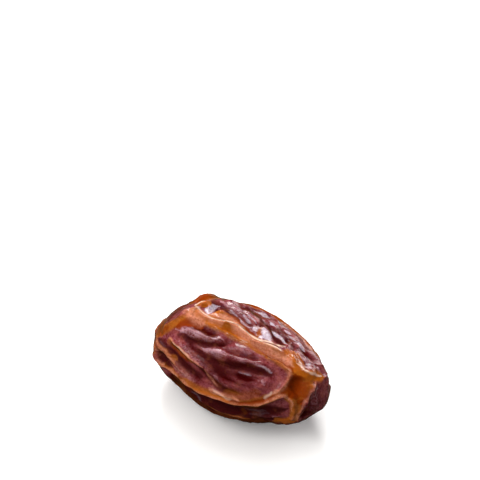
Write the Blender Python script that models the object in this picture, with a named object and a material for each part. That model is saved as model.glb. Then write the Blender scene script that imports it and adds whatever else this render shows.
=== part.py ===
"""Medjool date: one whole dried fruit, lying on its side.

The skin is one closed solid. Sizes are in millimetres until the mesh is
placed. A place on the skin is (along, around): millimetres from the stem end,
and degrees round the fruit from its top, positive towards the front (-Y).
"""

import bpy
import numpy as np

NODE = "medjool_date"
MM = 0.001

# Smooth body: how far the skin reaches from the long axis at five stations
LENGTH = 46.0
STATIONS = (0.0, 9.0, 23.0, 37.0, 46.0)
FRONT_REACH = (15.4, 12.6, 15.0, 12.8, 14.0)
BACK_REACH = (14.6, 12.8, 14.0, 11.2, 10.8)
TOP_REACH = (10.0, 14.2, 11.7, 11.7, 11.0)
UNDER_REACH = (11.0, 11.0, 11.1, 10.9, 10.2)
END_FULLNESS = (2.4, 2.1)
SECTION_FULLNESS = 2.15

# Resting spot: the soft skin is pressed flat where the fruit lies
REST_LEVEL = -10.7
PRESSED_HEIGHT = 1.6

# The long axis passes this far from the middle of the finished fruit
AXIS_OFFSET = (0.08, -0.42)

# Mesh
BALL_SUBDIVISIONS = 7
KEPT_TRIANGLES = 11400
NARROWEST_FOLD = 0.7
CREST_ROUNDING = 0.22
ROUTE_STEP = 0.25
CUT_THRESHOLD = 1e-7
SEED = 11

SKIN_COLOUR = (0.16, 0.035, 0.03, 1.0)


def fold(height, width, route, shape=1.0, lean=0.0, taper=0.22):
    """One fold or crease of the skin. A negative height is a crease. Shape 1 is a sharp crest
    with hollow flanks and 2 a round roll. A positive lean is steeper on the front side."""
    return {"height": height, "width": width, "route": route, "shape": shape, "lean": lean, "taper": taper}


# Sharp crests of loose skin
CRESTS = {
    "upper fold": fold(1.25, 1.0, ((9.8, -3), (11.2, 2), (12.8, 7.2), (14.6, 9.4), (17, 7.4), (19.5, 4),
                                   (22, 2), (24.3, 3), (26.5, 6), (29, 6.2), (31.6, 4.4), (34, 4.4),
                                   (36.4, 6.4)), lean=-0.2, taper=0.15),
    "upper fold, tip end": fold(0.8, 1.3, ((35.5, 4), (38.6, 8.5), (40.2, 9.5), (41.4, 8), (42.2, 2),
                                           (43, -4), (43.4, -10)), lean=-0.35),
    "second upper fold": fold(0.5, 0.9, ((14.8, -3), (16.5, -5), (18.5, -6.5), (20.5, -7), (22.2, -6),
                                         (24, -3.5)), lean=-0.3),
    "shoulder fold": fold(0.55, 1.1, ((9.8, -1), (8.6, 5), (8.0, 13), (8.0, 21), (6.8, 27), (5.0, 32),
                                      (3.2, 39))),
    "top bump": fold(1.1, 1.2, ((8.4, -11), (8.9, -19), (9.4, -27), (9.9, -37), (10.2, -50), (10, -66))),
    "stem corner": fold(0.7, 0.9, ((10.4, -2), (11.6, -8), (12.8, -13), (13.8, -20), (14.0, -30))),
    "back top fold": fold(0.6, 1.0, ((12.8, -32), (15, -30), (17.5, -33), (20.5, -38), (24, -43),
                                     (28, -48))),
    "back rim": fold(0.95, 1.1, ((15, -46), (18, -49), (22, -51), (26, -53), (31, -54), (36, -54),
                                 (40, -50), (43, -44))),
    "string fold": fold(0.65, 0.5, ((6.6, 49), (8.2, 50.4), (10.4, 51.8), (12.6, 52.6), (15, 53.8),
                                    (17.1, 53.6), (18.8, 53.2), (20.2, 53.6), (21.6, 56.4), (22.6, 59.4),
                                    (23.8, 62), (25.2, 64.4)), lean=0.3),
    "end fold": fold(0.75, 1.0, ((2.2, 50), (2.8, 58), (4, 66), (5.6, 70.4), (7.6, 71), (9.5, 70.8),
                                 (11.2, 72), (13.6, 73.6), (16, 73), (18.5, 72)), lean=0.3),
    "lower fold": fold(1.15, 0.8, ((4.6, 97), (6.5, 90.8), (8.2, 87), (10, 84.2), (12, 82.2),
                                   (14.3, 81.4), (17.7, 81.2), (19.2, 81), (20.6, 80.4), (22, 79.2),
                                   (23.6, 78.2), (25.4, 77.8), (27, 78), (28.8, 78.4), (30.4, 78.4),
                                   (32, 77.2), (34, 75.6), (35.4, 72.4), (36.6, 68), (37.6, 63),
                                   (38.6, 58.8), (39.8, 58), (40.8, 61.4), (41.3, 67)), lean=0.45,
                                   taper=0.1),
    "lower fold, inner edge": fold(0.6, 0.7, ((22.2, 67.4), (23.8, 70.4), (25.4, 71.6), (27.2, 72.4),
                                              (29, 73.2), (31, 73.4))),
    "panel lip": fold(0.5, 0.7, ((8.4, 25), (9.2, 20.6), (10.4, 17), (12.3, 14.6), (15, 13.2),
                                 (18, 12.4), (21, 11.8), (25, 12.2), (28, 13.4), (31, 15.4))),
    "panel end": fold(0.85, 0.9, ((31.5, 15.5), (33.8, 17), (36.2, 18.2), (37.8, 21.2), (38.7, 27),
                                  (38.9, 34), (38.7, 42), (38.3, 49), (37.6, 56), (36.5, 61.4),
                                  (35.2, 66)), lean=0.3, taper=0.16),
    "tip rim": fold(0.85, 1.0, ((43.4, -2), (43.9, 12), (43.9, 30), (43.8, 45), (43.7, 57), (43.4, 70),
                                (43, 85), (42.7, 98), (42.3, 112), (41.8, 128)), lean=-0.3),
    "hood": fold(0.85, 0.8, ((39.6, 57.4), (40.9, 62), (41.5, 69), (41.8, 78), (41.8, 88), (41.5, 98),
                             (41, 110)), lean=0.35, taper=0.18),
    "bottom rim": fold(0.45, 1.0, ((18.5, 107), (21, 104), (24, 100.6), (27, 100.4), (30, 101.4),
                                   (33, 102.6), (35.6, 104))),
    "side streak": fold(0.55, 0.6, ((12, 99), (15, 97.8), (17.5, 97), (20, 96.6), (22, 95), (24.5, 94.4),
                                    (27, 96), (30, 98))),
    "side streak 2": fold(0.4, 0.5, ((15, 91.6), (18, 91), (21, 90.2), (24, 89.6), (27, 91), (30, 92.4))),
    "side streak 3": fold(0.45, 0.6, ((31.5, 92.4), (34.3, 93.2), (36.7, 94.8), (38.6, 93.6),
                                      (40.4, 89))),
    "eye rim": fold(0.4, 0.8, ((2.6, 84), (3, 77), (4.4, 73.8), (6.4, 73), (8.4, 74), (10.2, 76.6))),
    "eye rim, lower": fold(0.6, 0.7, ((2.8, 84), (3.8, 89.4), (5.4, 90.8), (7.4, 87.6), (9.4, 85.2))),
}

# Round rolls of skin inside the panels
ROLLS = {
    "first roll": fold(0.7, 1.4, ((10, 34.8), (12.3, 32.6), (14.5, 29.8), (16.5, 27.2), (18.5, 24.8),
                                  (20.5, 22.2), (22.6, 19.4)), shape=2),
    "first roll, second half": fold(0.6, 1.0, ((22.8, 22), (24.5, 20.4), (26.5, 19.4), (28.8, 19.2),
                                               (31, 20), (33.5, 22)), shape=2),
    "second roll": fold(0.75, 1.1, ((17.4, 38), (19.2, 36), (21.2, 32.4), (23.4, 30.4), (25.5, 30.2),
                                    (27.6, 28.8), (29.6, 27.8), (32, 27.4), (34, 28.2),
                                    (36.4, 27.4)), shape=2),
    "third roll": fold(0.3, 0.7, ((23.4, 44.6), (25.4, 43.4), (27.2, 41.8), (29, 40.6), (31, 40.4),
                                  (33, 41), (35.5, 41.6)), shape=2),
    "long roll": fold(0.6, 1.25, ((9.6, 45), (12.5, 46.8), (15.5, 49), (18.5, 50), (21, 50.4),
                                  (23, 52.5), (24.6, 56), (26.2, 59), (28.4, 62)), shape=2),
    "panel foot": fold(0.5, 1.3, ((27, 55), (29.5, 53), (32, 50), (34.5, 48), (36.6, 46)), shape=2),
    "heel": fold(0.6, 2.2, ((1.4, 50), (2, 66), (3, 82), (4.8, 94), (7.4, 100), (10.4, 104), (14, 107),
                            (18, 110)), shape=2, taper=0.3),
    "tip shoulder": fold(0.5, 1.9, ((38.6, -52), (41, -47), (43.2, -43), (44.6, -40), (45.4, -44),
                                    (45.9, -70)), shape=2, taper=0.3),
    "tip cap": fold(0.6, 2.8, ((45.2, 136), (45.8, 172), (45.6, 215), (45, 255), (44.2, 288)), shape=2),
    "tip heel": fold(0.35, 2.2, ((39.2, 124), (41, 119), (42.2, 112)), shape=2),
}

# Creases between them
CREASES = {
    "below the upper fold": fold(-0.6, 0.65, ((10.8, 3.4), (12.4, 8.8), (14.4, 11.4), (18, 9),
                                              (21.5, 6.8), (25, 7.2), (28.3, 8.6), (30.4, 9.8),
                                              (32.4, 11.6), (34.2, 13.4), (36.4, 12.8), (38.6, 13.4),
                                              (40.5, 16))),
    "panel top": fold(-0.6, 0.9, ((9.6, 28), (10.8, 24), (12.4, 21.6), (15, 21), (18, 19.6), (21, 17.6))),
    "under the first roll": fold(-0.6, 0.75, ((10.6, 38.4), (13.2, 37.8), (15, 35.6), (17, 33),
                                              (18.4, 30.2), (20, 26.9), (21.6, 24), (22.7, 19.5),
                                              (24.4, 14.5))),
    "between first and second roll": fold(-0.45, 0.65, ((21, 26), (23.2, 25.6), (25, 25.8), (26.8, 25.2),
                                                        (28.3, 23.4), (30.2, 23), (32.4, 24.2))),
    "under the second roll": fold(-0.65, 0.75, ((17.8, 41), (19.6, 41.2), (21, 40.3), (22.7, 40),
                                                (24.3, 38.6), (26, 37), (28.5, 34.8), (31.3, 33.1),
                                                (33.2, 33.6), (35, 32.6), (37.2, 31.2))),
    "panel hollow": fold(-0.45, 1.6, ((20.5, 43), (22.6, 44), (25, 46.6), (28, 45.8), (31, 45),
                                      (33.5, 45.4)), shape=1.5),
    "above the long roll": fold(-0.5, 0.9, ((11.4, 40.6), (14.6, 42), (16.8, 43.6), (19.2, 44),
                                            (21.4, 45.4), (23.4, 48.6), (25.6, 52.4), (27.6, 56.4))),
    "below the long roll": fold(-0.65, 0.6, ((17.4, 57.4), (19, 56), (20.4, 56.2), (21.8, 56.8),
                                             (23.6, 59.2), (25, 61.6), (26.8, 63.8), (29, 65.4),
                                             (32, 66))),
    "string valley": fold(-0.6, 0.8, ((7.5, 61), (10, 63.5), (12.5, 64), (15, 64.4), (17.5, 65.6),
                                      (20, 67), (21.8, 68.4))),
    "side hollow": fold(-1.15, 1.5, ((11, 95), (14, 92), (17, 90.6), (20, 89.4), (23, 88), (26, 87),
                                     (29, 88), (32, 89), (35, 87.6), (38, 84.5), (40, 82)), shape=1.6),
    "side hollow, lower": fold(-0.55, 0.7, ((27, 97.6), (31, 98), (34, 98.8), (36.7, 100.4), (38.6, 101),
                                            (40.6, 97.6))),
    "amber hollow": fold(-1.0, 1.7, ((40.4, 22), (40.9, 32), (41, 42), (40.7, 51)), shape=2),
    "back crease 1": fold(-0.4, 0.8, ((14.4, -17), (17, -15.6), (19.6, -13.6), (22, -11.6), (24.4, -9),
                                      (26.4, -5))),
    "back crease 2": fold(-0.35, 0.8, ((19.6, -30), (22, -33), (24.2, -36.4), (26.6, -38))),
    "back crease 3": fold(-0.45, 0.75, ((25.2, -31), (26.6, -24), (28.2, -19.6), (29.6, -16.4),
                                        (30.6, -11), (32.2, -7.4), (34.6, -5.6))),
    "back crease 4": fold(-0.35, 0.7, ((29.6, -23), (31.4, -20.4), (33, -18.6), (35, -15.6),
                                       (36.8, -12))),
    "back crease 5": fold(-0.3, 0.7, ((24.6, -12), (26, -16), (26.6, -21.6))),
    "back crease 6": fold(-0.35, 0.7, ((36.5, -27), (38.4, -22), (40, -15), (41.6, -11))),
    "back crease 7": fold(-0.3, 0.8, ((28.5, -34), (31, -31), (33.6, -30), (36, -28))),
    "tip hollow": fold(-0.6, 2.2, ((43.2, 92), (43.8, 100), (43.4, 110)), shape=2),
    "top notch": fold(-0.85, 1.1, ((6.2, -1), (5.7, -12), (5.5, -24), (5.6, -38), (5.8, -52)),
                                   taper=0.15),
    "eye": fold(-1.1, 1.1, ((4.4, 84), (5.8, 80.6), (7.6, 78.8), (9.2, 80)), shape=1.6),
}

# The side that faces away and the underside
HIDDEN = {
    "hidden crest 1": fold(0.95, 1.2, ((6, -78), (10, -72), (15, -74), (20, -79), (25, -78), (30, -72),
                                       (35, -74), (39, -82)), lean=-0.3),
    "hidden crest 2": fold(0.85, 1.1, ((4, -118), (8, -108), (13, -101), (18, -103), (23, -110),
                                       (27, -107), (31, -98), (36, -96), (41, -104)), lean=0.3),
    "hidden crest 3": fold(0.9, 1.2, ((9, -150), (14, -143), (19, -134), (24, -132), (29, -138),
                                      (34, -133), (39, -124), (42, -120))),
    "hidden crest 4": fold(0.7, 0.9, ((20, -79), (22.5, -87), (25.5, -93), (29, -95))),
    "hidden crest 5": fold(0.6, 0.8, ((13, -101), (15.5, -91), (19, -87))),
    "hidden crest 6": fold(0.75, 1.0, ((31, -98), (33, -109), (34.4, -120), (34.2, -132))),
    "hidden crest 7": fold(0.6, 1.1, ((5, 128), (10, 126), (15, 132), (21, 133), (27, 131), (33, 134),
                                      (38, 140))),
    "hidden crest 8": fold(0.6, 0.9, ((10, 124), (12.5, 136), (16, 146), (21, 150))),
    "hidden crest 9": fold(0.5, 0.9, ((27, 132), (30, 144), (34.5, 156), (39, 160))),
    "hidden crest 10": fold(0.6, 0.8, ((2.2, -60), (5, -52), (9, -50), (13, -55))),
    "hidden roll 1": fold(0.5, 1.1, ((12, -88), (16, -89), (20, -94), (24, -99)), shape=2),
    "hidden roll 2": fold(0.5, 1.0, ((24, -86), (28, -84), (32, -85), (36, -88)), shape=2),
    "hidden roll 3": fold(0.5, 1.2, ((16, -117), (21, -120), (26, -120), (30, -116)), shape=2),
    "hidden crease 1": fold(-0.8, 0.8, ((8, -90), (12, -94), (16, -96), (20, -98), (24, -104))),
    "hidden crease 2": fold(-0.8, 0.8, ((23, -82), (27, -89), (31, -90), (35, -84), (38, -88))),
    "hidden crease 3": fold(-0.7, 0.8, ((11, -120), (16, -124), (22, -126), (28, -126), (32, -122))),
    "front undercut crease": fold(-1.7, 3.2, ((8, 108), (12, 108), (16, 110), (22, 114), (28, 119),
                                              (32, 122), (35.5, 122), (38.5, 122)), shape=2, taper=0.14),
    "hidden crease 5": fold(-0.6, 0.7, ((14, -64), (18, -66), (23, -67), (28, -64), (33, -65))),
}

# Small pit of the stem scar, with its rim
SCAR_DEPTH = 1.1
SCAR_RADIUS = 1.5
SCAR_RIM = 0.5

# Fine net of wrinkles: spacing along and around, height, width. NET_LEVEL is the share of its
# height that comes off all over, so that the net doesn't swell the fruit
LONG_NET = {"along": 24.0, "around": 8.0, "height": 0.45, "width": 0.75, "waves": 36}
SHORT_NET = {"along": 11.0, "around": 4.6, "height": 0.16, "width": 0.5, "waves": 48}
NET_LEVEL = 0.38
NET_DRIFT = {"length": 17.0, "reach": 1.6, "waves": 12}
NET_PATCHES = {"length": 14.0, "waves": 10}


def reach(values, along):
    """Value at a station, on the one smooth curve through the five stations."""
    middle = LENGTH / 2
    curve = np.polyfit(np.subtract(STATIONS, middle), values, len(STATIONS) - 1)
    return np.polyval(curve, along - middle)


def body(along, around):
    """Point of the smooth body, in millimetres from the middle of the long axis."""
    along = np.asarray(along, float)
    turn = np.radians(around)
    forward, upward = np.sin(turn), np.cos(turn)
    t = np.clip(np.abs(2 * along / LENGTH - 1), 0, 1)
    swell = (1 - t ** END_FULLNESS[0]) ** (1 / END_FULLNESS[1])
    side = np.where(forward > 0, reach(FRONT_REACH, along), reach(BACK_REACH, along)) * swell
    rise = np.where(upward > 0, reach(TOP_REACH, along), reach(UNDER_REACH, along)) * swell
    power = 2 / SECTION_FULLNESS
    y = -side * np.sign(forward) * np.abs(forward) ** power
    z = rise * np.sign(upward) * np.abs(upward) ** power
    return np.stack([along - LENGTH / 2 + 0 * y, y, z + 0 * y], axis=-1)


def through(points):
    """Even, closely spaced (along, around) points on a smooth curve through the given ones."""
    p = np.array(points, float)
    p = np.vstack([2 * p[0] - p[1], p, 2 * p[-1] - p[-2]])
    run = []
    for a, b, c, d in zip(p[:-3], p[1:-2], p[2:-1], p[3:]):
        length = np.linalg.norm(body(*c) - body(*b))
        t = np.linspace(0, 1, max(3, int(length / ROUTE_STEP)), endpoint=False)[:, None]
        run.append(b + 0.5 * t * (c - a + t * (2 * a - 5 * b + 4 * c - d + t * (3 * (b - c) + d - a))))
    return np.vstack(run + [p[-2:-1]])


def normals_of(points, places):
    """Outward normals of the smooth body."""
    along, around = places
    small = 0.02
    low, high = np.clip(along - small, 0, LENGTH), np.clip(along + small, 0, LENGTH)
    lengthways = body(high, around) - body(low, around)
    crossways = body(along, around + 0.2) - body(along, around - 0.2)
    found = np.cross(crossways, lengthways)
    size = np.linalg.norm(found, axis=-1, keepdims=True)
    pole = np.stack([np.sign(points[:, 0]), 0 * along, 0 * along], axis=-1)
    found = np.where(size > 1e-7, found / np.maximum(size, 1e-12), pole)
    outward = (found * points).sum(-1, keepdims=True)
    return np.where(outward < 0, -found, found)


def one_fold(points, spec, narrowest):
    """Height that one fold gives each point of the smooth body."""
    places = through(spec["route"])
    line = body(places[:, 0], places[:, 1])
    up = normals_of(line, (places[:, 0], places[:, 1]))
    share = np.linspace(0, 1, len(line))
    width = max(spec["width"], narrowest)
    reached = 5 * width
    near = ((points > line.min(0) - reached) & (points < line.max(0) + reached)).all(1)
    index = np.nonzero(near)[0]
    height = np.zeros(len(points))
    if not len(index):
        return height
    p = points[index]
    gap = (p ** 2).sum(1)[:, None] + (line ** 2).sum(1)[None] - 2 * p @ line.T
    nearest = np.clip(gap.argmin(1), 1, len(line) - 2)
    best = np.full(len(p), 1e9)
    place, side = np.zeros(len(p)), np.zeros(len(p))
    for start in (nearest - 1, nearest):
        a, step = line[start], line[start + 1] - line[start]
        t = np.clip(((p - a) * step).sum(1) / (step ** 2).sum(1), 0, 1)
        away = p - a - t[:, None] * step
        d = np.linalg.norm(away, axis=1)
        closer = d < best
        best = np.where(closer, d, best)
        place = np.where(closer, share[start] + t * (share[start + 1] - share[start]), place)
        side = np.where(closer, (away * np.cross(step, up[start])).sum(1), side)
    width = width * (1 - spec["lean"] * np.tanh(side / 0.05))
    rounded = np.sqrt(best ** 2 + CREST_ROUNDING ** 2) - CREST_ROUNDING
    profile = np.exp(-((rounded / width) ** spec["shape"]))
    ends = np.clip(np.minimum(place, 1 - place) / spec["taper"], 0, 1)
    height[index] = spec["height"] * profile * ends * ends * (3 - 2 * ends)
    return height


def together(points, specs, narrowest, power=4):
    """Folds that meet run into one another and don't pile up."""
    total = np.zeros(len(points))
    for spec in specs:
        total += np.abs(one_fold(points, spec, narrowest)) ** power
    return total ** (1 / power)


def waves(points, random, along, around, count):
    """Seeded sum of waves with these lengths: its value and its gradient."""
    turn = random.uniform(0, 2 * np.pi, count)
    k = np.stack([
        2 * np.pi / along * random.uniform(0.5, 1.3, count) * random.choice((-1, 1), count),
        2 * np.pi / around * random.uniform(0.75, 1.25, count) * np.cos(turn),
        2 * np.pi / around * random.uniform(0.75, 1.25, count) * np.sin(turn),
    ])
    phase = points @ k + random.uniform(0, 2 * np.pi, count)
    size = np.sqrt(2 / count)
    return size * np.cos(phase).sum(1), -size * np.sin(phase) @ k.T


def net(points, normals, random, spec):
    """Net of thin raised lines, where a wave pattern passes through zero."""
    drift = np.stack([waves(points, random, NET_DRIFT["length"], NET_DRIFT["length"], NET_DRIFT["waves"])[0]
                      for _ in range(3)], axis=-1)
    moved = points + NET_DRIFT["reach"] * drift
    value, slope = waves(moved, random, spec["along"], spec["around"], spec["waves"])
    slope = slope - (slope * normals).sum(1, keepdims=True) * normals
    distance = np.abs(value) / (np.linalg.norm(slope, axis=1) + 0.15 * 2 * np.pi / spec["around"])
    rounded = np.sqrt(distance ** 2 + CREST_ROUNDING ** 2) - CREST_ROUNDING
    patch = waves(points, random, NET_PATCHES["length"], NET_PATCHES["length"], NET_PATCHES["waves"])[0]
    strength = np.clip(0.65 + 0.45 * patch, 0.1, 1)
    return spec["height"] * strength * (np.exp(-rounded / spec["width"]) - NET_LEVEL)


def between(value, low, high, soft):
    """1 inside the range, 0 outside, with soft edges."""
    rise = np.clip((value - low) / soft + 0.5, 0, 1)
    fall = np.clip((high - value) / soft + 0.5, 0, 1)
    both = rise * fall
    return both * both * (3 - 2 * both)


def relief(points, normals, places):
    """Height of the skin over the smooth body."""
    along, around = places
    crests = list(CRESTS.values()) + [s for n, s in HIDDEN.items() if "crest" in n]
    rolls = list(ROLLS.values()) + [s for n, s in HIDDEN.items() if "roll" in n]
    creases = list(CREASES.values()) + [s for n, s in HIDDEN.items() if "crease" in n]
    height = together(points, crests, NARROWEST_FOLD)
    height += together(points, rolls, NARROWEST_FOLD)
    height -= together(points, creases, NARROWEST_FOLD)
    random = np.random.default_rng(SEED)
    shown = between(around, -56, 138, 24) * between(along, 5, 42, 6)
    height += net(points, normals, random, LONG_NET) * (1 - 0.85 * shown)
    height += net(points, normals, random, SHORT_NET) * (1 - 0.6 * shown)
    stem_distance = np.linalg.norm(points - body(0.0, 0.0), axis=1)
    height -= SCAR_DEPTH * np.exp(-((stem_distance / SCAR_RADIUS) ** 3))
    height += SCAR_RIM * np.exp(-(((stem_distance - 1.7 * SCAR_RADIUS) / (0.5 * SCAR_RADIUS)) ** 2))
    return height


def skin(directions):
    """Points of the finished skin for points of a unit ball whose poles are the two ends."""
    along = (np.clip(directions[:, 0], -1, 1) + 1) * LENGTH / 2
    around = np.degrees(np.arctan2(-directions[:, 1], directions[:, 2]))
    points = body(along, around)
    normals = normals_of(points, (along, around))
    height = relief(points, normals, (along, around))
    pressed = np.clip((points[:, 2] - REST_LEVEL) / PRESSED_HEIGHT, 0, 1)
    height = height * pressed * pressed * (3 - 2 * pressed)
    return points + normals * height[:, None]


def clear_scene():
    for old in list(bpy.data.objects):
        bpy.data.objects.remove(old)


def skin_material():
    material = bpy.data.materials.new("date_skin")
    material.use_nodes = True
    shader = material.node_tree.nodes["Principled BSDF"]
    shader.inputs["Base Color"].default_value = SKIN_COLOUR
    shader.inputs["Roughness"].default_value = 0.35
    shader.inputs["Metallic"].default_value = 0.0
    return material


def make_date():
    bpy.ops.mesh.primitive_ico_sphere_add(subdivisions=BALL_SUBDIVISIONS, radius=1)
    date = bpy.context.object
    date.name = NODE
    mesh = date.data
    flat = np.empty(3 * len(mesh.vertices))
    mesh.vertices.foreach_get("co", flat)
    ball = flat.reshape(-1, 3)
    points = skin(ball / np.linalg.norm(ball, axis=1, keepdims=True))
    points -= (AXIS_OFFSET[0], AXIS_OFFSET[1], REST_LEVEL)
    mesh.vertices.foreach_set("co", (points * MM).ravel())
    mesh.update()

    thin = date.modifiers.new("keep the folds", "DECIMATE")
    thin.ratio = KEPT_TRIANGLES / len(mesh.polygons)
    bpy.ops.object.modifier_apply(modifier=thin.name)

    bpy.ops.object.mode_set(mode="EDIT")
    bpy.ops.mesh.select_all(action="SELECT")
    bpy.ops.mesh.bisect(plane_co=(0, 0, 0), plane_no=(0, 0, 1), use_fill=True, clear_inner=True,
                        threshold=CUT_THRESHOLD)
    bpy.ops.object.mode_set(mode="OBJECT")

    mesh.shade_smooth()
    mesh.materials.append(skin_material())
    return date


clear_scene()
make_date()
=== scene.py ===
import bpy
import numpy as np
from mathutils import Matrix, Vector


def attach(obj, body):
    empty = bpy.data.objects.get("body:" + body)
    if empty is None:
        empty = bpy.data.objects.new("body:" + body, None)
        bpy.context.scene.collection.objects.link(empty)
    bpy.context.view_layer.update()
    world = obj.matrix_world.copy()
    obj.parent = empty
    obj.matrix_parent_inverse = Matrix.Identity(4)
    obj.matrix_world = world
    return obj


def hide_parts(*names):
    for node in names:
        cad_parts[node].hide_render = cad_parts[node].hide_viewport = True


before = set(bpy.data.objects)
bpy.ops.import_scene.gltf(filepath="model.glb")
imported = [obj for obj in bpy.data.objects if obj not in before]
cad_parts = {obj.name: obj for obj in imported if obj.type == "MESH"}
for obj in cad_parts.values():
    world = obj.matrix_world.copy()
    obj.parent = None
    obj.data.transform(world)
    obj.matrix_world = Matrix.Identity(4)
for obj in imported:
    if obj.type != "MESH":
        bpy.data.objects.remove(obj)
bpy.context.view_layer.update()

# Medjool date, lying on its side on a white studio floor. The skin is rebuilt as one fine mesh over the
# solid, from the same folds. Fruit sizes are in millimetres. A place on the skin is
# (along, around): millimetres from the stem end, and degrees from the top, positive towards the front.
mm = 0.001

for thing in bpy.context.selected_objects:
    thing.select_set(False)


# Body shape

bodyShape = {
    "length": 46.0,
    "stations": (0.0, 9.0, 23.0, 37.0, 46.0),    # where the four reaches below are given
    "front": (15.4, 12.6, 15.0, 12.8, 14.0),
    "back": (14.6, 12.8, 14.0, 11.2, 10.8),
    "top": (10.0, 14.2, 11.7, 11.7, 11.0),
    "under": (11.0, 11.0, 11.1, 10.9, 10.2),
    "endFullness": (2.4, 2.1),    # a larger first value keeps the body full nearer to its ends
    "sectionFullness": 2.15,    # 2 is an ellipse, more is squarer
    "axisOffset": (0.08, -0.42),
    "restLevel": -10.7,    # what is lower is pressed flat on the floor
    "pressedHeight": 1.6,    # folds fade out this close to the floor
}
normalStep = {"along": 0.02, "around": 0.2}
tiny = 1e-7


def reach(side, along):
    middle = bodyShape["length"] / 2
    stations = np.subtract(bodyShape["stations"], middle)
    return np.polyval(np.polyfit(stations, bodyShape[side], len(stations) - 1), along - middle)


def body(along, around):
    turn = np.radians(around)
    forward, upward = np.sin(turn), np.cos(turn)
    t = np.clip(np.abs(2 * along / bodyShape["length"] - 1), 0, 1)
    fall, root = bodyShape["endFullness"]
    swell = (1 - t ** fall) ** (1 / root)
    side = np.where(forward > 0, reach("front", along), reach("back", along)) * swell
    rise = np.where(upward > 0, reach("top", along), reach("under", along)) * swell
    power = 2 / bodyShape["sectionFullness"]
    y = -side * np.sign(forward) * np.abs(forward) ** power
    z = rise * np.sign(upward) * np.abs(upward) ** power
    return np.stack([along - bodyShape["length"] / 2, y, z], axis=-1)


def bodyNormals(points, along, around):
    step, turn = normalStep["along"], normalStep["around"]
    low, high = (np.clip(along + move, 0, bodyShape["length"]) for move in (-step, step))
    lengthways = body(high, around) - body(low, around)
    crossways = body(along, around + turn) - body(along, around - turn)
    found = np.cross(crossways, lengthways)
    size = np.linalg.norm(found, axis=-1, keepdims=True)
    pole = np.stack([np.sign(points[:, 0]), 0 * along, 0 * along], axis=-1)
    found = np.where(size > tiny, found / np.maximum(size, tiny), pole)
    outward = (found * points).sum(-1, keepdims=True)
    return np.where(outward < 0, -found, found)


# Folds of the skin. A negative height is a crease. Shape 1 is a sharp crest with hollow flanks and 2 a
# round roll. A positive lean is steeper on the front side. Taper is the share of the route at each end.

foldStyle = {
    "routeStep": 0.25,
    "leastSteps": 3,    # between two points of a route
    "crestRounding": 0.16,
    "roundFrom": 1.5,    # shapes from here on fade out sooner
    "sharpReach": 5,    # how far to the sides a fold is followed, in widths
    "roundReach": 2.6,
    "leanSoftness": 0.05,
    "leastWidth": 0.01,    # of a pointed end, before its square root
}


def fold(height, width, route, shape=1.0, lean=0.0, taper=0.22, pointed=False):
    return {"height": height, "width": width, "route": route, "shape": shape, "lean": lean, "taper": taper,
            "pointed": pointed}


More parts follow.
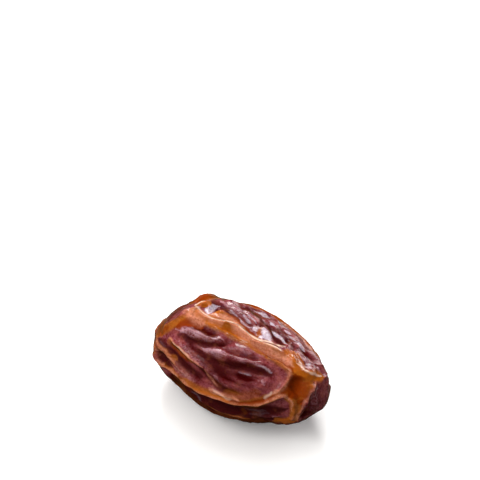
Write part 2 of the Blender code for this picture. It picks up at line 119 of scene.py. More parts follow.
# Sharp crests of loose skin. The hidden folds are on the side that faces away and underneath
crests = {
    "upper fold": fold(1.25, 1.0, ((9.8, -3), (11.2, 2), (12.8, 7.2), (14.6, 9.4), (17, 7.4), (19.5, 4),
        (22, 2), (24.3, 3), (26.5, 6), (29, 6.2), (31.6, 4.4), (34, 4.4), (36.4, 6.4)),
        lean=-0.2, taper=0.15),
    "upper fold, tip end": fold(0.8, 1.3, ((35.5, 4), (38.6, 8.5), (40.2, 9.5), (41.4, 8), (42.2, 2),
        (43, -4), (43.4, -10)), lean=-0.35),
    "second upper fold": fold(0.5, 0.9, ((14.8, -3), (16.5, -5), (18.5, -6.5), (20.5, -7), (22.2, -6),
        (24, -3.5)), lean=-0.3),
    "shoulder fold": fold(0.55, 1.1, ((9.8, -1), (8.6, 5), (8.0, 13), (8.0, 21), (6.8, 27), (5.0, 32),
        (3.2, 39))),
    "top bump": fold(1.1, 1.2, ((8.4, -11), (8.9, -19), (9.4, -27), (9.9, -37), (10.2, -50), (10, -66))),
    "stem corner": fold(0.7, 0.9, ((10.4, -2), (11.6, -8), (12.8, -13), (13.8, -20), (14.0, -30))),
    "back top fold": fold(0.6, 1.0, ((12.8, -32), (15, -30), (17.5, -33), (20.5, -38), (24, -43),
        (28, -48))),
    "back rim": fold(0.95, 1.1, ((15, -46), (18, -49), (22, -51), (26, -53), (31, -54), (36, -54),
        (40, -50), (43, -44))),
    "string fold": fold(0.65, 0.5, ((6.6, 49), (8.2, 50.4), (10.4, 51.8), (12.6, 52.6), (15, 53.8),
        (17.1, 53.6), (18.8, 53.2), (20.2, 53.6), (21.6, 56.4), (22.6, 59.4), (23.8, 62), (25.2, 64.4)),
        lean=0.3),
    "end fold": fold(0.75, 1.0, ((2.2, 50), (2.8, 58), (4, 66), (5.6, 70.4), (7.6, 71), (9.5, 70.8),
        (11.2, 72), (13.6, 73.6), (16, 73), (18.5, 72)), lean=0.3),
    "lower fold": fold(1.15, 0.8, ((4.6, 97), (6.5, 90.8), (8.2, 87), (10, 84.2), (12, 82.2), (14.3, 81.4),
        (17.7, 81.2), (19.2, 81), (20.6, 80.4), (22, 79.2), (23.6, 78.2), (25.4, 77.8), (27, 78),
        (28.8, 78.4), (30.4, 78.4), (32, 77.2), (34, 75.6), (35.4, 72.4), (36.6, 68), (37.6, 63),
        (38.6, 58.8), (39.8, 58), (40.8, 61.4), (41.3, 67)), lean=0.45, taper=0.1),
    "lower fold, inner edge": fold(0.6, 0.7, ((22.2, 67.4), (23.8, 70.4), (25.4, 71.6), (27.2, 72.4),
        (29, 73.2), (31, 73.4))),
    "panel lip": fold(0.5, 0.7, ((8.4, 25), (9.2, 20.6), (10.4, 17), (12.3, 14.6), (15, 13.2), (18, 12.4),
        (21, 11.8), (25, 12.2), (28, 13.4), (31, 15.4))),
    "panel end": fold(0.85, 0.9, ((31.5, 15.5), (33.8, 17), (36.2, 18.2), (37.8, 21.2), (38.7, 27),
        (38.9, 34), (38.7, 42), (38.3, 49), (37.6, 56), (36.5, 61.4), (35.2, 66)), lean=0.3, taper=0.16),
    "tip rim": fold(0.85, 1.0, ((43.4, -2), (43.9, 12), (43.9, 30), (43.8, 45), (43.7, 57), (43.4, 70),
        (43, 85), (42.7, 98), (42.3, 112), (41.8, 128)), lean=-0.3),
    "hood": fold(0.85, 0.8, ((39.6, 57.4), (40.9, 62), (41.5, 69), (41.8, 78), (41.8, 88), (41.5, 98),
        (41, 110)), lean=0.35, taper=0.18),
    "bottom rim": fold(0.45, 1.0, ((18.5, 107), (21, 104), (24, 100.6), (27, 100.4), (30, 101.4),
        (33, 102.6), (35.6, 104))),
    "side streak": fold(0.55, 0.6, ((12, 99), (15, 97.8), (17.5, 97), (20, 96.6), (22, 95), (24.5, 94.4),
        (27, 96), (30, 98))),
    "side streak 2": fold(0.4, 0.5, ((15, 91.6), (18, 91), (21, 90.2), (24, 89.6), (27, 91), (30, 92.4))),
    "side streak 3": fold(0.45, 0.6, ((31.5, 92.4), (34.3, 93.2), (36.7, 94.8), (38.6, 93.6), (40.4, 89))),
    "eye rim": fold(0.4, 0.8, ((2.6, 84), (3, 77), (4.4, 73.8), (6.4, 73), (8.4, 74), (10.2, 76.6))),
    "eye rim, lower": fold(0.6, 0.7, ((2.8, 84), (3.8, 89.4), (5.4, 90.8), (7.4, 87.6), (9.4, 85.2))),
    "hidden 1": fold(0.95, 1.2, ((6, -78), (10, -72), (15, -74), (20, -79), (25, -78), (30, -72),
        (35, -74), (39, -82)), lean=-0.3),
    "hidden 2": fold(0.85, 1.1, ((4, -118), (8, -108), (13, -101), (18, -103), (23, -110), (27, -107),
        (31, -98), (36, -96), (41, -104)), lean=0.3),
    "hidden 3": fold(0.9, 1.2, ((9, -150), (14, -143), (19, -134), (24, -132), (29, -138), (34, -133),
        (39, -124), (42, -120))),
    "hidden 4": fold(0.7, 0.9, ((20, -79), (22.5, -87), (25.5, -93), (29, -95))),
    "hidden 5": fold(0.6, 0.8, ((13, -101), (15.5, -91), (19, -87))),
    "hidden 6": fold(0.75, 1.0, ((31, -98), (33, -109), (34.4, -120), (34.2, -132))),
    "hidden 7": fold(0.6, 1.1, ((5, 128), (10, 126), (15, 132), (21, 133), (27, 131), (33, 134),
        (38, 140))),
    "hidden 8": fold(0.6, 0.9, ((10, 124), (12.5, 136), (16, 146), (21, 150))),
    "hidden 9": fold(0.5, 0.9, ((27, 132), (30, 144), (34.5, 156), (39, 160))),
    "hidden 10": fold(0.6, 0.8, ((2.2, -60), (5, -52), (9, -50), (13, -55))),
}

# Round rolls of skin inside the panels
rolls = {
    "first roll": fold(0.7, 1.4, ((10, 34.8), (12.3, 32.6), (14.5, 29.8), (16.5, 27.2), (18.5, 24.8),
        (20.5, 22.2), (22.6, 19.4)), shape=2),
    "first roll, second half": fold(0.6, 1.0, ((22.8, 22), (24.5, 20.4), (26.5, 19.4), (28.8, 19.2),
        (31, 20), (33.5, 22)), shape=2),
    "second roll": fold(0.75, 1.1, ((17.4, 38), (19.2, 36), (21.2, 32.4), (23.4, 30.4), (25.5, 30.2),
        (27.6, 28.8), (29.6, 27.8), (32, 27.4), (34, 28.2), (36.4, 27.4)), shape=2),
    "third roll": fold(0.3, 0.7, ((23.4, 44.6), (25.4, 43.4), (27.2, 41.8), (29, 40.6), (31, 40.4),
        (33, 41), (35.5, 41.6)), shape=2),
    "long roll": fold(0.6, 1.25, ((9.6, 45), (12.5, 46.8), (15.5, 49), (18.5, 50), (21, 50.4), (23, 52.5),
        (24.6, 56), (26.2, 59), (28.4, 62)), shape=2),
    "panel foot": fold(0.5, 1.3, ((27, 55), (29.5, 53), (32, 50), (34.5, 48), (36.6, 46)), shape=2),
    "heel": fold(0.6, 2.2, ((1.4, 50), (2, 66), (3, 82), (4.8, 94), (7.4, 100), (10.4, 104), (14, 107),
        (18, 110)), shape=2, taper=0.3),
    "tip shoulder": fold(0.5, 1.9, ((38.6, -52), (41, -47), (43.2, -43), (44.6, -40), (45.4, -44),
        (45.9, -70)), shape=2, taper=0.3),
    "tip cap": fold(0.6, 2.8, ((45.2, 136), (45.8, 172), (45.6, 215), (45, 255), (44.2, 288)), shape=2),
    "tip heel": fold(0.35, 2.2, ((39.2, 124), (41, 119), (42.2, 112)), shape=2),
    "hidden 1": fold(0.5, 1.1, ((12, -88), (16, -89), (20, -94), (24, -99)), shape=2),
    "hidden 2": fold(0.5, 1.0, ((24, -86), (28, -84), (32, -85), (36, -88)), shape=2),
    "hidden 3": fold(0.5, 1.2, ((16, -117), (21, -120), (26, -120), (30, -116)), shape=2),
}

# Creases between them
creases = {
    "below the upper fold": fold(-0.6, 0.65, ((10.8, 3.4), (12.4, 8.8), (14.4, 11.4), (18, 9), (21.5, 6.8),
        (25, 7.2), (28.3, 8.6), (30.4, 9.8), (32.4, 11.6), (34.2, 13.4), (36.4, 12.8), (38.6, 13.4),
        (40.5, 16))),
    "panel top": fold(-0.6, 0.9, ((9.6, 28), (10.8, 24), (12.4, 21.6), (15, 21), (18, 19.6), (21, 17.6))),
    "under the first roll": fold(-0.6, 0.75, ((10.6, 38.4), (13.2, 37.8), (15, 35.6), (17, 33),
        (18.4, 30.2), (20, 26.9), (21.6, 24), (22.7, 19.5), (24.4, 14.5))),
    "between first and second roll": fold(-0.45, 0.65, ((21, 26), (23.2, 25.6), (25, 25.8), (26.8, 25.2),
        (28.3, 23.4), (30.2, 23), (32.4, 24.2))),
    "under the second roll": fold(-0.65, 0.75, ((17.8, 41), (19.6, 41.2), (21, 40.3), (22.7, 40),
        (24.3, 38.6), (26, 37), (28.5, 34.8), (31.3, 33.1), (33.2, 33.6), (35, 32.6), (37.2, 31.2))),
    "panel hollow": fold(-0.45, 1.6, ((20.5, 43), (22.6, 44), (25, 46.6), (28, 45.8), (31, 45),
        (33.5, 45.4)), shape=1.5),
    "above the long roll": fold(-0.5, 0.9, ((11.4, 40.6), (14.6, 42), (16.8, 43.6), (19.2, 44),
        (21.4, 45.4), (23.4, 48.6), (25.6, 52.4), (27.6, 56.4))),
    "below the long roll": fold(-0.65, 0.6, ((17.4, 57.4), (19, 56), (20.4, 56.2), (21.8, 56.8),
        (23.6, 59.2), (25, 61.6), (26.8, 63.8), (29, 65.4), (32, 66))),
    "string valley": fold(-0.6, 0.8, ((7.5, 61), (10, 63.5), (12.5, 64), (15, 64.4), (17.5, 65.6), (20, 67),
        (21.8, 68.4))),
    "side hollow": fold(-1.15, 1.5, ((11, 95), (14, 92), (17, 90.6), (20, 89.4), (23, 88), (26, 87),
        (29, 88), (32, 89), (35, 87.6), (38, 84.5), (40, 82)), shape=1.6),
    "side hollow, lower": fold(-0.55, 0.7, ((27, 97.6), (31, 98), (34, 98.8), (36.7, 100.4), (38.6, 101),
        (40.6, 97.6))),
    "amber hollow": fold(-1.0, 1.7, ((40.4, 22), (40.9, 32), (41, 42), (40.7, 51)), shape=2),
    "back crease 1": fold(-0.4, 0.8, ((14.4, -17), (17, -15.6), (19.6, -13.6), (22, -11.6), (24.4, -9),
        (26.4, -5))),
    "back crease 2": fold(-0.35, 0.8, ((19.6, -30), (22, -33), (24.2, -36.4), (26.6, -38))),
    "back crease 3": fold(-0.45, 0.75, ((25.2, -31), (26.6, -24), (28.2, -19.6), (29.6, -16.4), (30.6, -11),
        (32.2, -7.4), (34.6, -5.6))),
    "back crease 4": fold(-0.35, 0.7, ((29.6, -23), (31.4, -20.4), (33, -18.6), (35, -15.6), (36.8, -12))),
    "back crease 5": fold(-0.3, 0.7, ((24.6, -12), (26, -16), (26.6, -21.6))),
    "back crease 6": fold(-0.35, 0.7, ((36.5, -27), (38.4, -22), (40, -15), (41.6, -11))),
    "back crease 7": fold(-0.3, 0.8, ((28.5, -34), (31, -31), (33.6, -30), (36, -28))),
    "tip hollow": fold(-0.6, 2.2, ((43.2, 92), (43.8, 100), (43.4, 110)), shape=2),
    "top notch": fold(-0.85, 1.1, ((6.2, -1), (5.7, -12), (5.5, -24), (5.6, -38), (5.8, -52)), taper=0.15),
    "eye": fold(-1.1, 1.1, ((4.4, 84), (5.8, 80.6), (7.6, 78.8), (9.2, 80)), shape=1.6),
    "hidden 1": fold(-0.8, 0.8, ((8, -90), (12, -94), (16, -96), (20, -98), (24, -104))),
    "hidden 2": fold(-0.8, 0.8, ((23, -82), (27, -89), (31, -90), (35, -84), (38, -88))),
    "hidden 3": fold(-0.7, 0.8, ((11, -120), (16, -124), (22, -126), (28, -126), (32, -122))),
    "front undercut": fold(-1.7, 3.2, ((8, 108), (12, 108), (16, 110), (22, 114), (28, 119),
        (32, 122), (35.5, 122), (38.5, 122)), shape=2, taper=0.14),
    "hidden 4": fold(-0.6, 0.7, ((14, -64), (18, -66), (23, -67), (28, -64), (33, -65))),
}

# Thin folds that only this fine skin is dense enough to hold
fineCrests = {
    "loop edge": fold(0.3, 0.45, ((9.8, -3), (10.0, -7), (11.0, -10.5), (12.6, -12.5), (13.6, -9.5),
        (13.4, -5), (12.2, -2))),
    "facet edge": fold(0.3, 0.4, ((15.4, -2.5), (16.2, -6), (17.2, -9.5), (18.6, -12))),
    "streak 1": fold(0.28, 0.4, ((34.4, -7), (35.8, -4), (37, -0.5), (38.2, 4), (39, 7.5))),
    "streak 2": fold(0.28, 0.4, ((35.6, -8), (36.9, -5), (38, -1.5), (39.2, 2.5), (40.2, 6))),
    "streak 3": fold(0.22, 0.35, ((37.2, -9), (38.2, -6.4), (39.4, -3.4), (40.4, 1))),
    "streak 4": fold(0.2, 0.35, ((33.4, -3.5), (34.8, -1), (36, 2.6), (37, 6.2))),
    "small arc 1": fold(0.2, 0.4, ((29.5, 52.5), (31, 50.5), (32.6, 50.6), (34, 53.2), (34.6, 57))),
    "small arc 2": fold(0.18, 0.35, ((31.6, 47), (33, 48.4), (34.2, 51), (35, 55))),
    "roll seam 1": fold(0.16, 0.35, ((11.5, 31), (14, 28.4), (16.5, 26), (19, 23.6))),
    "roll seam 2": fold(0.16, 0.35, ((18.6, 36.6), (21, 33.8), (23.4, 32.2), (26, 31.4), (29, 29.8),
        (32, 29))),
    "long roll seam": fold(0.14, 0.3, ((12, 50.2), (15, 51.6), (18, 52.4), (20.5, 53.4), (22.6, 55.8),
        (24.4, 59))),
    "long roll seam 2": fold(0.12, 0.3, ((13, 46.4), (16, 47.6), (19, 48.2), (21.6, 50))),
    "tip cap line": fold(0.2, 0.5, ((44.8, 56), (45.1, 70), (44.9, 86))),
    "tip dimple rim": fold(0.12, 0.4, ((42.3, 57.4), (43, 56.4), (43.5, 60), (43.2, 64.6), (42.6, 65.6),
        (42.1, 62), (42.3, 58))),
    "eye line": fold(0.3, 0.3, ((4.6, 87), (6, 84.4), (7.6, 82.4), (9.4, 82.6))),
    "eye line 2": fold(0.25, 0.3, ((4.8, 83.4), (6.2, 80.6), (7.8, 79.8))),
    "side line 1": fold(0.25, 0.45, ((20, 92.4), (23, 91), (26, 91.2), (29, 93))),
    "side line 2": fold(0.2, 0.4, ((31, 90.6), (33.4, 91.8), (36, 91.4), (38.4, 89.6))),
    "side line 3": fold(0.22, 0.45, ((30, 102), (33, 104.4), (36, 106.4), (38.6, 110))),
    "back edge 1": fold(0.3, 0.4, ((19.4, -19.5), (21.4, -17.4), (23.6, -15.8), (25.2, -13.4))),
    "back edge 2": fold(0.3, 0.4, ((16, -24.5), (18.4, -24), (20.6, -24.6), (23, -24.2))),
    "back edge 3": fold(0.28, 0.4, ((21, -42), (23.6, -42), (26.4, -44.6), (29, -43))),
}
fineCreases = {
    "under the loop": fold(-0.5, 0.7, ((11.2, -5), (12.2, -5.4), (12.8, -8)), shape=2),
    "silver facet": fold(-0.35, 1.2, ((13.4, -5.5), (14.6, -7.6), (15.2, -10)), shape=3),
    "tip dimple": fold(-0.15, 0.7, ((42.7, 60), (42.9, 62)), shape=2),
    "lower groove": fold(-0.4, 0.4, ((22.4, 76.4), (23.8, 75), (25.4, 74.8), (27, 75.2), (28.8, 75.8),
        (30.4, 76), (32, 75), (33.3, 73.2), (34.6, 70.6), (36, 66), (37, 61.8), (38.2, 56.4))),
    "under the upper fold": fold(-0.35, 0.35, ((29.5, 8.4), (31.4, 10.8), (33.2, 13.6), (35.4, 13.8),
        (37, 14.8), (38.4, 17.4), (39.1, 21.5))),
    "behind the fold": fold(-0.35, 0.35, ((18.8, -6.8), (20.4, -5.8), (21.9, -5.2), (23.7, -3.4),
        (25.4, -1), (27.4, 0.8))),
    "tip crease": fold(-0.25, 0.5, ((43.9, 30), (44.4, 44), (44.6, 58))),
    "panel crease 1": fold(-0.3, 0.35, ((12.6, 24), (15, 23.4), (17.6, 22.4), (20, 20.4))),
    "panel crease 2": fold(-0.3, 0.35, ((24, 35.4), (26.6, 33.6), (29.4, 31.8), (32, 30.6))),
    "panel crease 3": fold(-0.15, 0.5, ((27.6, 47.6), (29.6, 46.4), (31.8, 43.6), (34.2, 43.2))),
    "panel crease 4": fold(-0.3, 0.4, ((22.4, 48), (24.6, 50.4), (26.6, 53.6), (28.4, 57))),
    "panel crease 5": fold(-0.35, 0.3, ((23.4, 51.6), (25, 52.5), (26.7, 53), (28.2, 53.2), (29.8, 55.5),
        (31.4, 56.4))),
    "panel crease 6": fold(-0.35, 0.3, ((27.4, 44), (28.8, 44.8), (30.4, 46.5), (31.9, 47), (33.4, 49))),
    "panel crease 7": fold(-0.3, 0.3, ((21.4, 40.4), (23.6, 39.6), (25.4, 37.6), (27.4, 36.6),
        (29.6, 34.6))),
    "string crease": fold(-0.35, 0.35, ((7.4, 53.6), (9.6, 56.6), (12, 57), (14.4, 57.6), (16.6, 57.8))),
    "side crease 1": fold(-0.4, 0.4, ((14.6, 93), (17.4, 92), (20.6, 91), (23.6, 89.4))),
    "side crease 2": fold(-0.35, 0.4, ((16, 96), (19, 94.6), (22, 93), (25, 92.6))),
    "side crease 3": fold(-0.35, 0.4, ((26, 90), (29, 90.6), (32, 91.4), (35.4, 89.8))),
}

# Fine net of wrinkles: spacing along and around, height, width. "shownLess" is the share of it that the
# front takes away, because the folds are listed one by one there, and "crumpledLess" the share that the
# crumpled patch takes away. That patch lies behind the top and is crumpled into small flat facets.

netStyle = {
    "level": 0.38,    # taken off all over, so that the net adds no thickness
    "slopeFloor": 0.15,    # keeps the lines narrow where a wave is flat
    "middle": 0.65,    # strength of the net: its middle, how far patches differ from it, and the least
    "spread": 0.45,
    "least": 0.1,
}
netPatches = {"along": 14.0, "around": 14.0, "waves": 10}
netDrift = {"along": 17.0, "around": 17.0, "reach": 1.6, "waves": 12}
longNet = {"along": 24.0, "around": 8.0, "height": 0.45, "width": 0.75, "waves": 36,
           "shownLess": 0.85, "crumpledLess": 0}
shortNet = {"along": 11.0, "around": 4.6, "height": 0.16, "width": 0.5, "waves": 48,
            "shownLess": 0.6, "crumpledLess": 0.7}
thinNet = {"along": 5.6, "around": 2.2, "height": 0.09, "width": 0.26, "waves": 56,
           "shownLess": 0.35, "crumpledLess": 0.6}
# shade: how strongly the low parts of the crumpled facets take painted shade
crumple = {"along": 9.0, "around": 4.2, "height": 0.17, "layers": 4, "shade": 1.5}
shownSide = {"around": (-56, 138, 24), "along": (5, 42, 6)}    # from, to, softness
crumpledSide = {"around": (-46, -6, 8), "along": (12, 42, 5)}
wobble = {"along": 5.0, "around": 5.0, "reach": 0.07, "waves": 28}
waveSpread = {"along": (0.5, 1.3), "around": (0.75, 1.25)}
stemScar = {"depth": 1.1, "radius": 1.5, "steepness": 3, "rim": 0.5, "rimPlace": 1.7, "rimWidth": 0.5}
seeds = {"net": 11, "fine": 23, "paint": 5}


def smooth(t):
    return t * t * (3 - 2 * t)


def rounded(distance):    # takes the sharp tip off a crest
    rounding = foldStyle["crestRounding"]
    return np.sqrt(distance ** 2 + rounding ** 2) - rounding


def routeThrough(points):    # a smooth curve through all the points
    step, least = foldStyle["routeStep"], foldStyle["leastSteps"]
    p = np.array(points, float)
    p = np.vstack([2 * p[0] - p[1], p, 2 * p[-1] - p[-2]])
    run = []
    for a, b, c, d in zip(p[:-3], p[1:-2], p[2:-1], p[3:]):
        length = np.linalg.norm(body(*c) - body(*b))
        t = np.linspace(0, 1, max(least, int(length / step)), endpoint=False)[:, None]
        run.append(b + 0.5 * t * (c - a + t * (2 * a - 5 * b + 4 * c - d + t * (3 * (b - c) + d - a))))
    return np.vstack(run + [p[-2:-1]])


def oneFold(points, spec):
    places = routeThrough(spec["route"])
    line = body(places[:, 0], places[:, 1])
    up = bodyNormals(line, places[:, 0], places[:, 1])
    share = np.linspace(0, 1, len(line))
    sharp = spec["shape"] < foldStyle["roundFrom"]
    spread = spec["width"] * foldStyle["sharpReach" if sharp else "roundReach"]
    near = ((points > line.min(0) - spread) & (points < line.max(0) + spread)).all(1)
    index = np.nonzero(near)[0]
    height = np.zeros(len(points))
    if not len(index):
        return height
    p = points[index]
    gap = (p ** 2).sum(1)[:, None] + (line ** 2).sum(1)[None] - 2 * p @ line.T
    nearest = np.clip(gap.argmin(1), 1, len(line) - 2)
    best = np.full(len(p), np.inf)
    place, side = np.zeros(len(p)), np.zeros(len(p))
    for start in (nearest - 1, nearest):
        a, step = line[start], line[start + 1] - line[start]
        t = np.clip(((p - a) * step).sum(1) / (step ** 2).sum(1), 0, 1)
        away = p - a - t[:, None] * step
        d = np.linalg.norm(away, axis=1)
        closer = d < best
        best = np.where(closer, d, best)
        place = np.where(closer, share[start] + t * (share[start + 1] - share[start]), place)
        side = np.where(closer, (away * np.cross(step, up[start])).sum(1), side)
    ends = smooth(np.clip(np.minimum(place, 1 - place) / spec["taper"], 0, 1))
    width = spec["width"] * (1 - spec["lean"] * np.tanh(side / foldStyle["leanSoftness"]))
    if spec["pointed"]:
        width, ends = width * np.sqrt(ends + foldStyle["leastWidth"]), 1
    height[index] = spec["height"] * np.exp(-((rounded(best) / width) ** spec["shape"])) * ends
    return height


def together(points, specs, power=4):    # folds that meet run into one another and don't pile up
    total = np.zeros(len(points))
    for spec in specs:
        total += np.abs(oneFold(points, spec)) ** power
    return total ** (1 / power)


def waves(points, random, spec):    # a sum of waves in random directions, and its slope
    along, around, count = spec["along"], spec["around"], spec["waves"]
    turn = random.uniform(0, 2 * np.pi, count)
    k = np.stack([
        2 * np.pi / along * random.uniform(*waveSpread["along"], count) * random.choice((-1, 1), count),
        2 * np.pi / around * random.uniform(*waveSpread["around"], count) * np.cos(turn),
        2 * np.pi / around * random.uniform(*waveSpread["around"], count) * np.sin(turn),
    ])
    phase = points @ k + random.uniform(0, 2 * np.pi, count)
    size = np.sqrt(2 / count)
    return size * np.cos(phase).sum(1), -size * np.sin(phase) @ k.T


def shifted(points, random, spec):    # moved about a little, so that lines waver
    shift = np.stack([waves(points, random, spec)[0] for _ in range(3)], axis=-1)
    return points + spec["reach"] * shift


def net(points, normals, random, spec):    # raised lines where a wave pattern passes through zero
    value, slope = waves(shifted(points, random, netDrift), random, spec)
    slope = slope - (slope * normals).sum(1, keepdims=True) * normals
    floor = netStyle["slopeFloor"] * 2 * np.pi / spec["around"]
    distance = rounded(np.abs(value) / (np.linalg.norm(slope, axis=1) + floor))
    patch = waves(points, random, netPatches)[0]
    strength = np.clip(netStyle["middle"] + netStyle["spread"] * patch, netStyle["least"], 1)
    return spec["height"] * strength * (np.exp(-distance / spec["width"]) - netStyle["level"])


def facets(points, random, spec):    # crossing zigzags of straight folds: flat facets with sharp edges
    moved = shifted(points, random, netDrift)
    total = np.zeros(len(points))
    for _ in range(spec["layers"]):
        turn = random.uniform(0, 2 * np.pi)
        across = np.array((np.cos(turn), np.sin(turn))) / spec["around"]
        place = moved @ (random.choice((-1, 1)) / spec["along"], *across)
        place += random.uniform(0, 1)
        total += 1 - 4 * np.abs(place - np.floor(place) - 0.5)
    return spec["height"] * total / np.sqrt(spec["layers"])


def between(value, low, high, soft):
    rise = np.clip((value - low) / soft + 0.5, 0, 1)
    fall = np.clip((high - value) / soft + 0.5, 0, 1)
    return smooth(rise * fall)


def inside(side, along, around):
    return between(around, *side["around"]) * between(along, *side["along"])


def skinForm(points, normals, along, around):
    random = np.random.default_rng(seeds["net"])
    fine = np.random.default_rng(seeds["fine"])
    nets = [(net(points, normals, source, spec), spec)
            for source, spec in ((random, longNet), (random, shortNet), (fine, thinNet))]
    facet = facets(points, fine, crumple)
    moved = shifted(points, fine, wobble)
    shown = inside(shownSide, along, around)
    crumpled = inside(crumpledSide, along, around)
    long, short, thin = (values * (1 - spec["shownLess"] * shown) * (1 - spec["crumpledLess"] * crumpled)
                         for values, spec in nets)
    tables = crests, rolls, creases, fineCrests, fineCreases
    crest, roll, crease, fineCrest, fineCrease = (together(moved, table.values()) for table in tables)
    height = crest + roll - crease + fineCrest - fineCrease
    height += long + short
    height += thin + facet * crumpled
    scar = stemScar["radius"]
    stemDistance = np.linalg.norm(points - body(0.0, 0.0), axis=1)
    height -= stemScar["depth"] * np.exp(-((stemDistance / scar) ** stemScar["steepness"]))
    rim = (stemDistance - stemScar["rimPlace"] * scar) / (stemScar["rimWidth"] * scar)
    height += stemScar["rim"] * np.exp(-(rim ** 2))
    # the second value marks the creases and the low parts of the facets, where shade is painted
    return height, crease + fineCrease + np.maximum(-crumple["shade"] * facet, 0) * crumpled


# Colours of the skin, painted in strokes: (strength, half width, route)

amberSkin = {
    "upper band": (1.0, 1.1, ((8.8, 2), (11, 4.6), (13, 9), (14.8, 11), (17.5, 9.5), (20.1, 7.5),
        (22.6, 6.8), (25.4, 7.5), (28, 8.2), (30.4, 10), (32.4, 12.4), (34.5, 13.2), (37, 14), (39.4, 15),
        (40.6, 18))),
    "upper fold": (1.0, 1.3, ((12.4, 4), (15, 6.6), (17.2, 6), (19.6, 2.4), (22, 2), (25, 4), (28, 5.4),
        (31, 7.4), (34, 8.6), (37, 10.6))),
    "panel lip": (0.85, 0.65, ((9.6, 24), (10.4, 19), (11.6, 15.2), (13.6, 14), (16, 13.2), (19, 11.6),
        (22, 11), (26, 11.8), (30, 13.8), (33, 16.2))),
    "stem collar": (1.0, 1.2, ((10.6, -2), (10.3, 4), (10.3, 11), (10, 17), (9.1, 22), (7.8, 28), (6.6, 34),
        (5.4, 40), (4.8, 46), (4.9, 52))),
    "olive side": (1.0, 2.2, ((1.6, 0), (2, 14), (2.4, 26), (2.8, 38), (3.2, 48), (3.4, 58))),
    "stem side": (0.75, 1.0, ((2, 50), (2.6, 60), (3, 70), (3.3, 80), (3.6, 88))),
    "eye surround": (0.7, 0.5, ((3.6, 74), (5.4, 71.4), (7.6, 71), (9.8, 71.4), (12, 72))),
    "cheek line": (0.65, 0.4, ((3.1, 53), (3.9, 61), (5.4, 66), (7.8, 67.4), (10.3, 68), (12.4, 68.4))),
    "under the string": (0.5, 0.45, ((7, 52), (8.8, 55), (10.8, 56.4), (13, 57.4), (15.4, 57.6))),
    "string": (0.9, 0.4, ((7.6, 50.6), (9.4, 52.6), (11.4, 53), (13.6, 53.8), (15.8, 54.6), (17.6, 54.4))),
    "lower fold": (1.0, 0.5, ((5, 95), (6.6, 90.4), (8.4, 86), (10, 84), (12, 81.8), (14.3, 80.8),
        (17.7, 80.4), (19.2, 80.2), (21.1, 79.2), (23.4, 77.6), (25, 77), (26.8, 77), (28.6, 77.6),
        (30.4, 77.6), (32, 76.4), (34, 75), (35.4, 71.6), (36.6, 67), (37.6, 62), (38.6, 58), (39.6, 57))),
    "above the lower fold": (0.9, 0.8, ((15.4, 79), (18.4, 78), (20.8, 76.6), (23, 75), (25.4, 74.8),
        (28.4, 75.4), (31, 75), (33, 72.6), (34.8, 69), (36.4, 64), (37.6, 58.4))),
    "panel foot": (0.42, 1.5, ((26, 71), (29, 70), (31.4, 68.6), (33.2, 64), (34.6, 58))),
    "panel end": (0.85, 0.7, ((33, 15), (35.2, 17), (37.4, 18.6), (39, 23), (39.6, 31), (39.4, 41),
        (39, 50), (38, 57), (36.6, 62.6), (35.6, 66))),
    "amber hollow": (1.0, 2.3, ((39.6, 14), (40.8, 24), (41.3, 34), (41.3, 44), (40.8, 54), (40.6, 64))),
    "tip band": (1.0, 1.1, ((42, 8), (42.7, 16), (42.8, 28), (42.7, 40), (42.5, 52), (42.2, 64), (42.2, 76),
        (42.1, 88), (41.9, 98), (41.2, 106))),
    "hood": (1.0, 0.65, ((39.4, 57.4), (40.6, 61), (41.3, 68), (41.7, 77), (41.7, 88), (41.5, 98))),
    "tip corner": (1.0, 1.3, ((37.6, 8), (39, 12), (40.6, 13.4), (42, 10), (43, 2), (43.8, -8),
        (44.2, -22))),
    "tip foot": (1.0, 1.1, ((37.6, 107), (38.8, 107.6), (40.2, 106), (41.3, 102), (42, 96))),
    "foot line": (0.75, 0.5, ((18, 106), (21, 103.6), (24.7, 100.5), (27, 100.5), (29, 101.4), (31, 102),
        (33, 102.6))),
    "brown gap": (0.2, 0.4, ((31, 91), (31.6, 93), (32.2, 96))),
    "hump": (0.8, 1.7, ((6.8, -6), (7.6, -16), (8.4, -26), (9, -38), (9.2, -52))),
    "hump, tip side": (0.9, 1.2, ((10, -14), (10.8, -22), (11.6, -31), (12.2, -42))),
    "loop": (0.9, 0.5, ((10.4, -2), (11, -7), (12, -10), (13.4, -10))),
    "back rim": (0.9, 1.0, ((14, -46), (18, -48), (22, -49.5), (26, -51), (30, -53), (34, -54), (37, -52.6),
        (40, -48), (42, -50))),
    "facet": (0.95, 0.95, ((15.2, 0.6), (16.4, -2.4), (17.9, -3), (19.4, -3), (21, -2.4), (22.4, -1.2),
        (24, 0))),
    "streaks": (0.75, 1.1, ((34.6, 1.6), (36.2, 3.4), (37.8, 7), (39, 10))),
    "streak 1": (0.9, 0.3, ((35.2, -3.6), (36.4, -0.4), (37.8, 3.6), (39.2, 8))),
    "streak 2": (0.9, 0.28, ((36.2, -6), (37.4, -2.4), (38.8, 2), (40, 6.4))),
    "streak 3": (0.8, 0.22, ((37.2, -8), (38.6, -4), (39.8, 0), (40.8, 4))),
    "back seam": (0.85, 0.4, ((26.6, -15), (26.9, -9), (27.2, -4), (27.6, 0.6))),
    "far side 1": (0.55, 1.2, crests["hidden 1"]["route"]),
    "far side 2": (0.5, 0.9, crests["hidden 2"]["route"]),
    "far side 3": (0.46, 1.1, crests["hidden 3"]["route"][:-1]),
    "far side 4": (0.42, 0.8, crests["hidden 6"]["route"]),
    "under side": (0.25, 1.1, crests["hidden 7"]["route"]),
    "stem end": (0.6, 2.2, ((0.6, -60), (0.3, -20), (0.4, 30), (0.8, 60))),
}
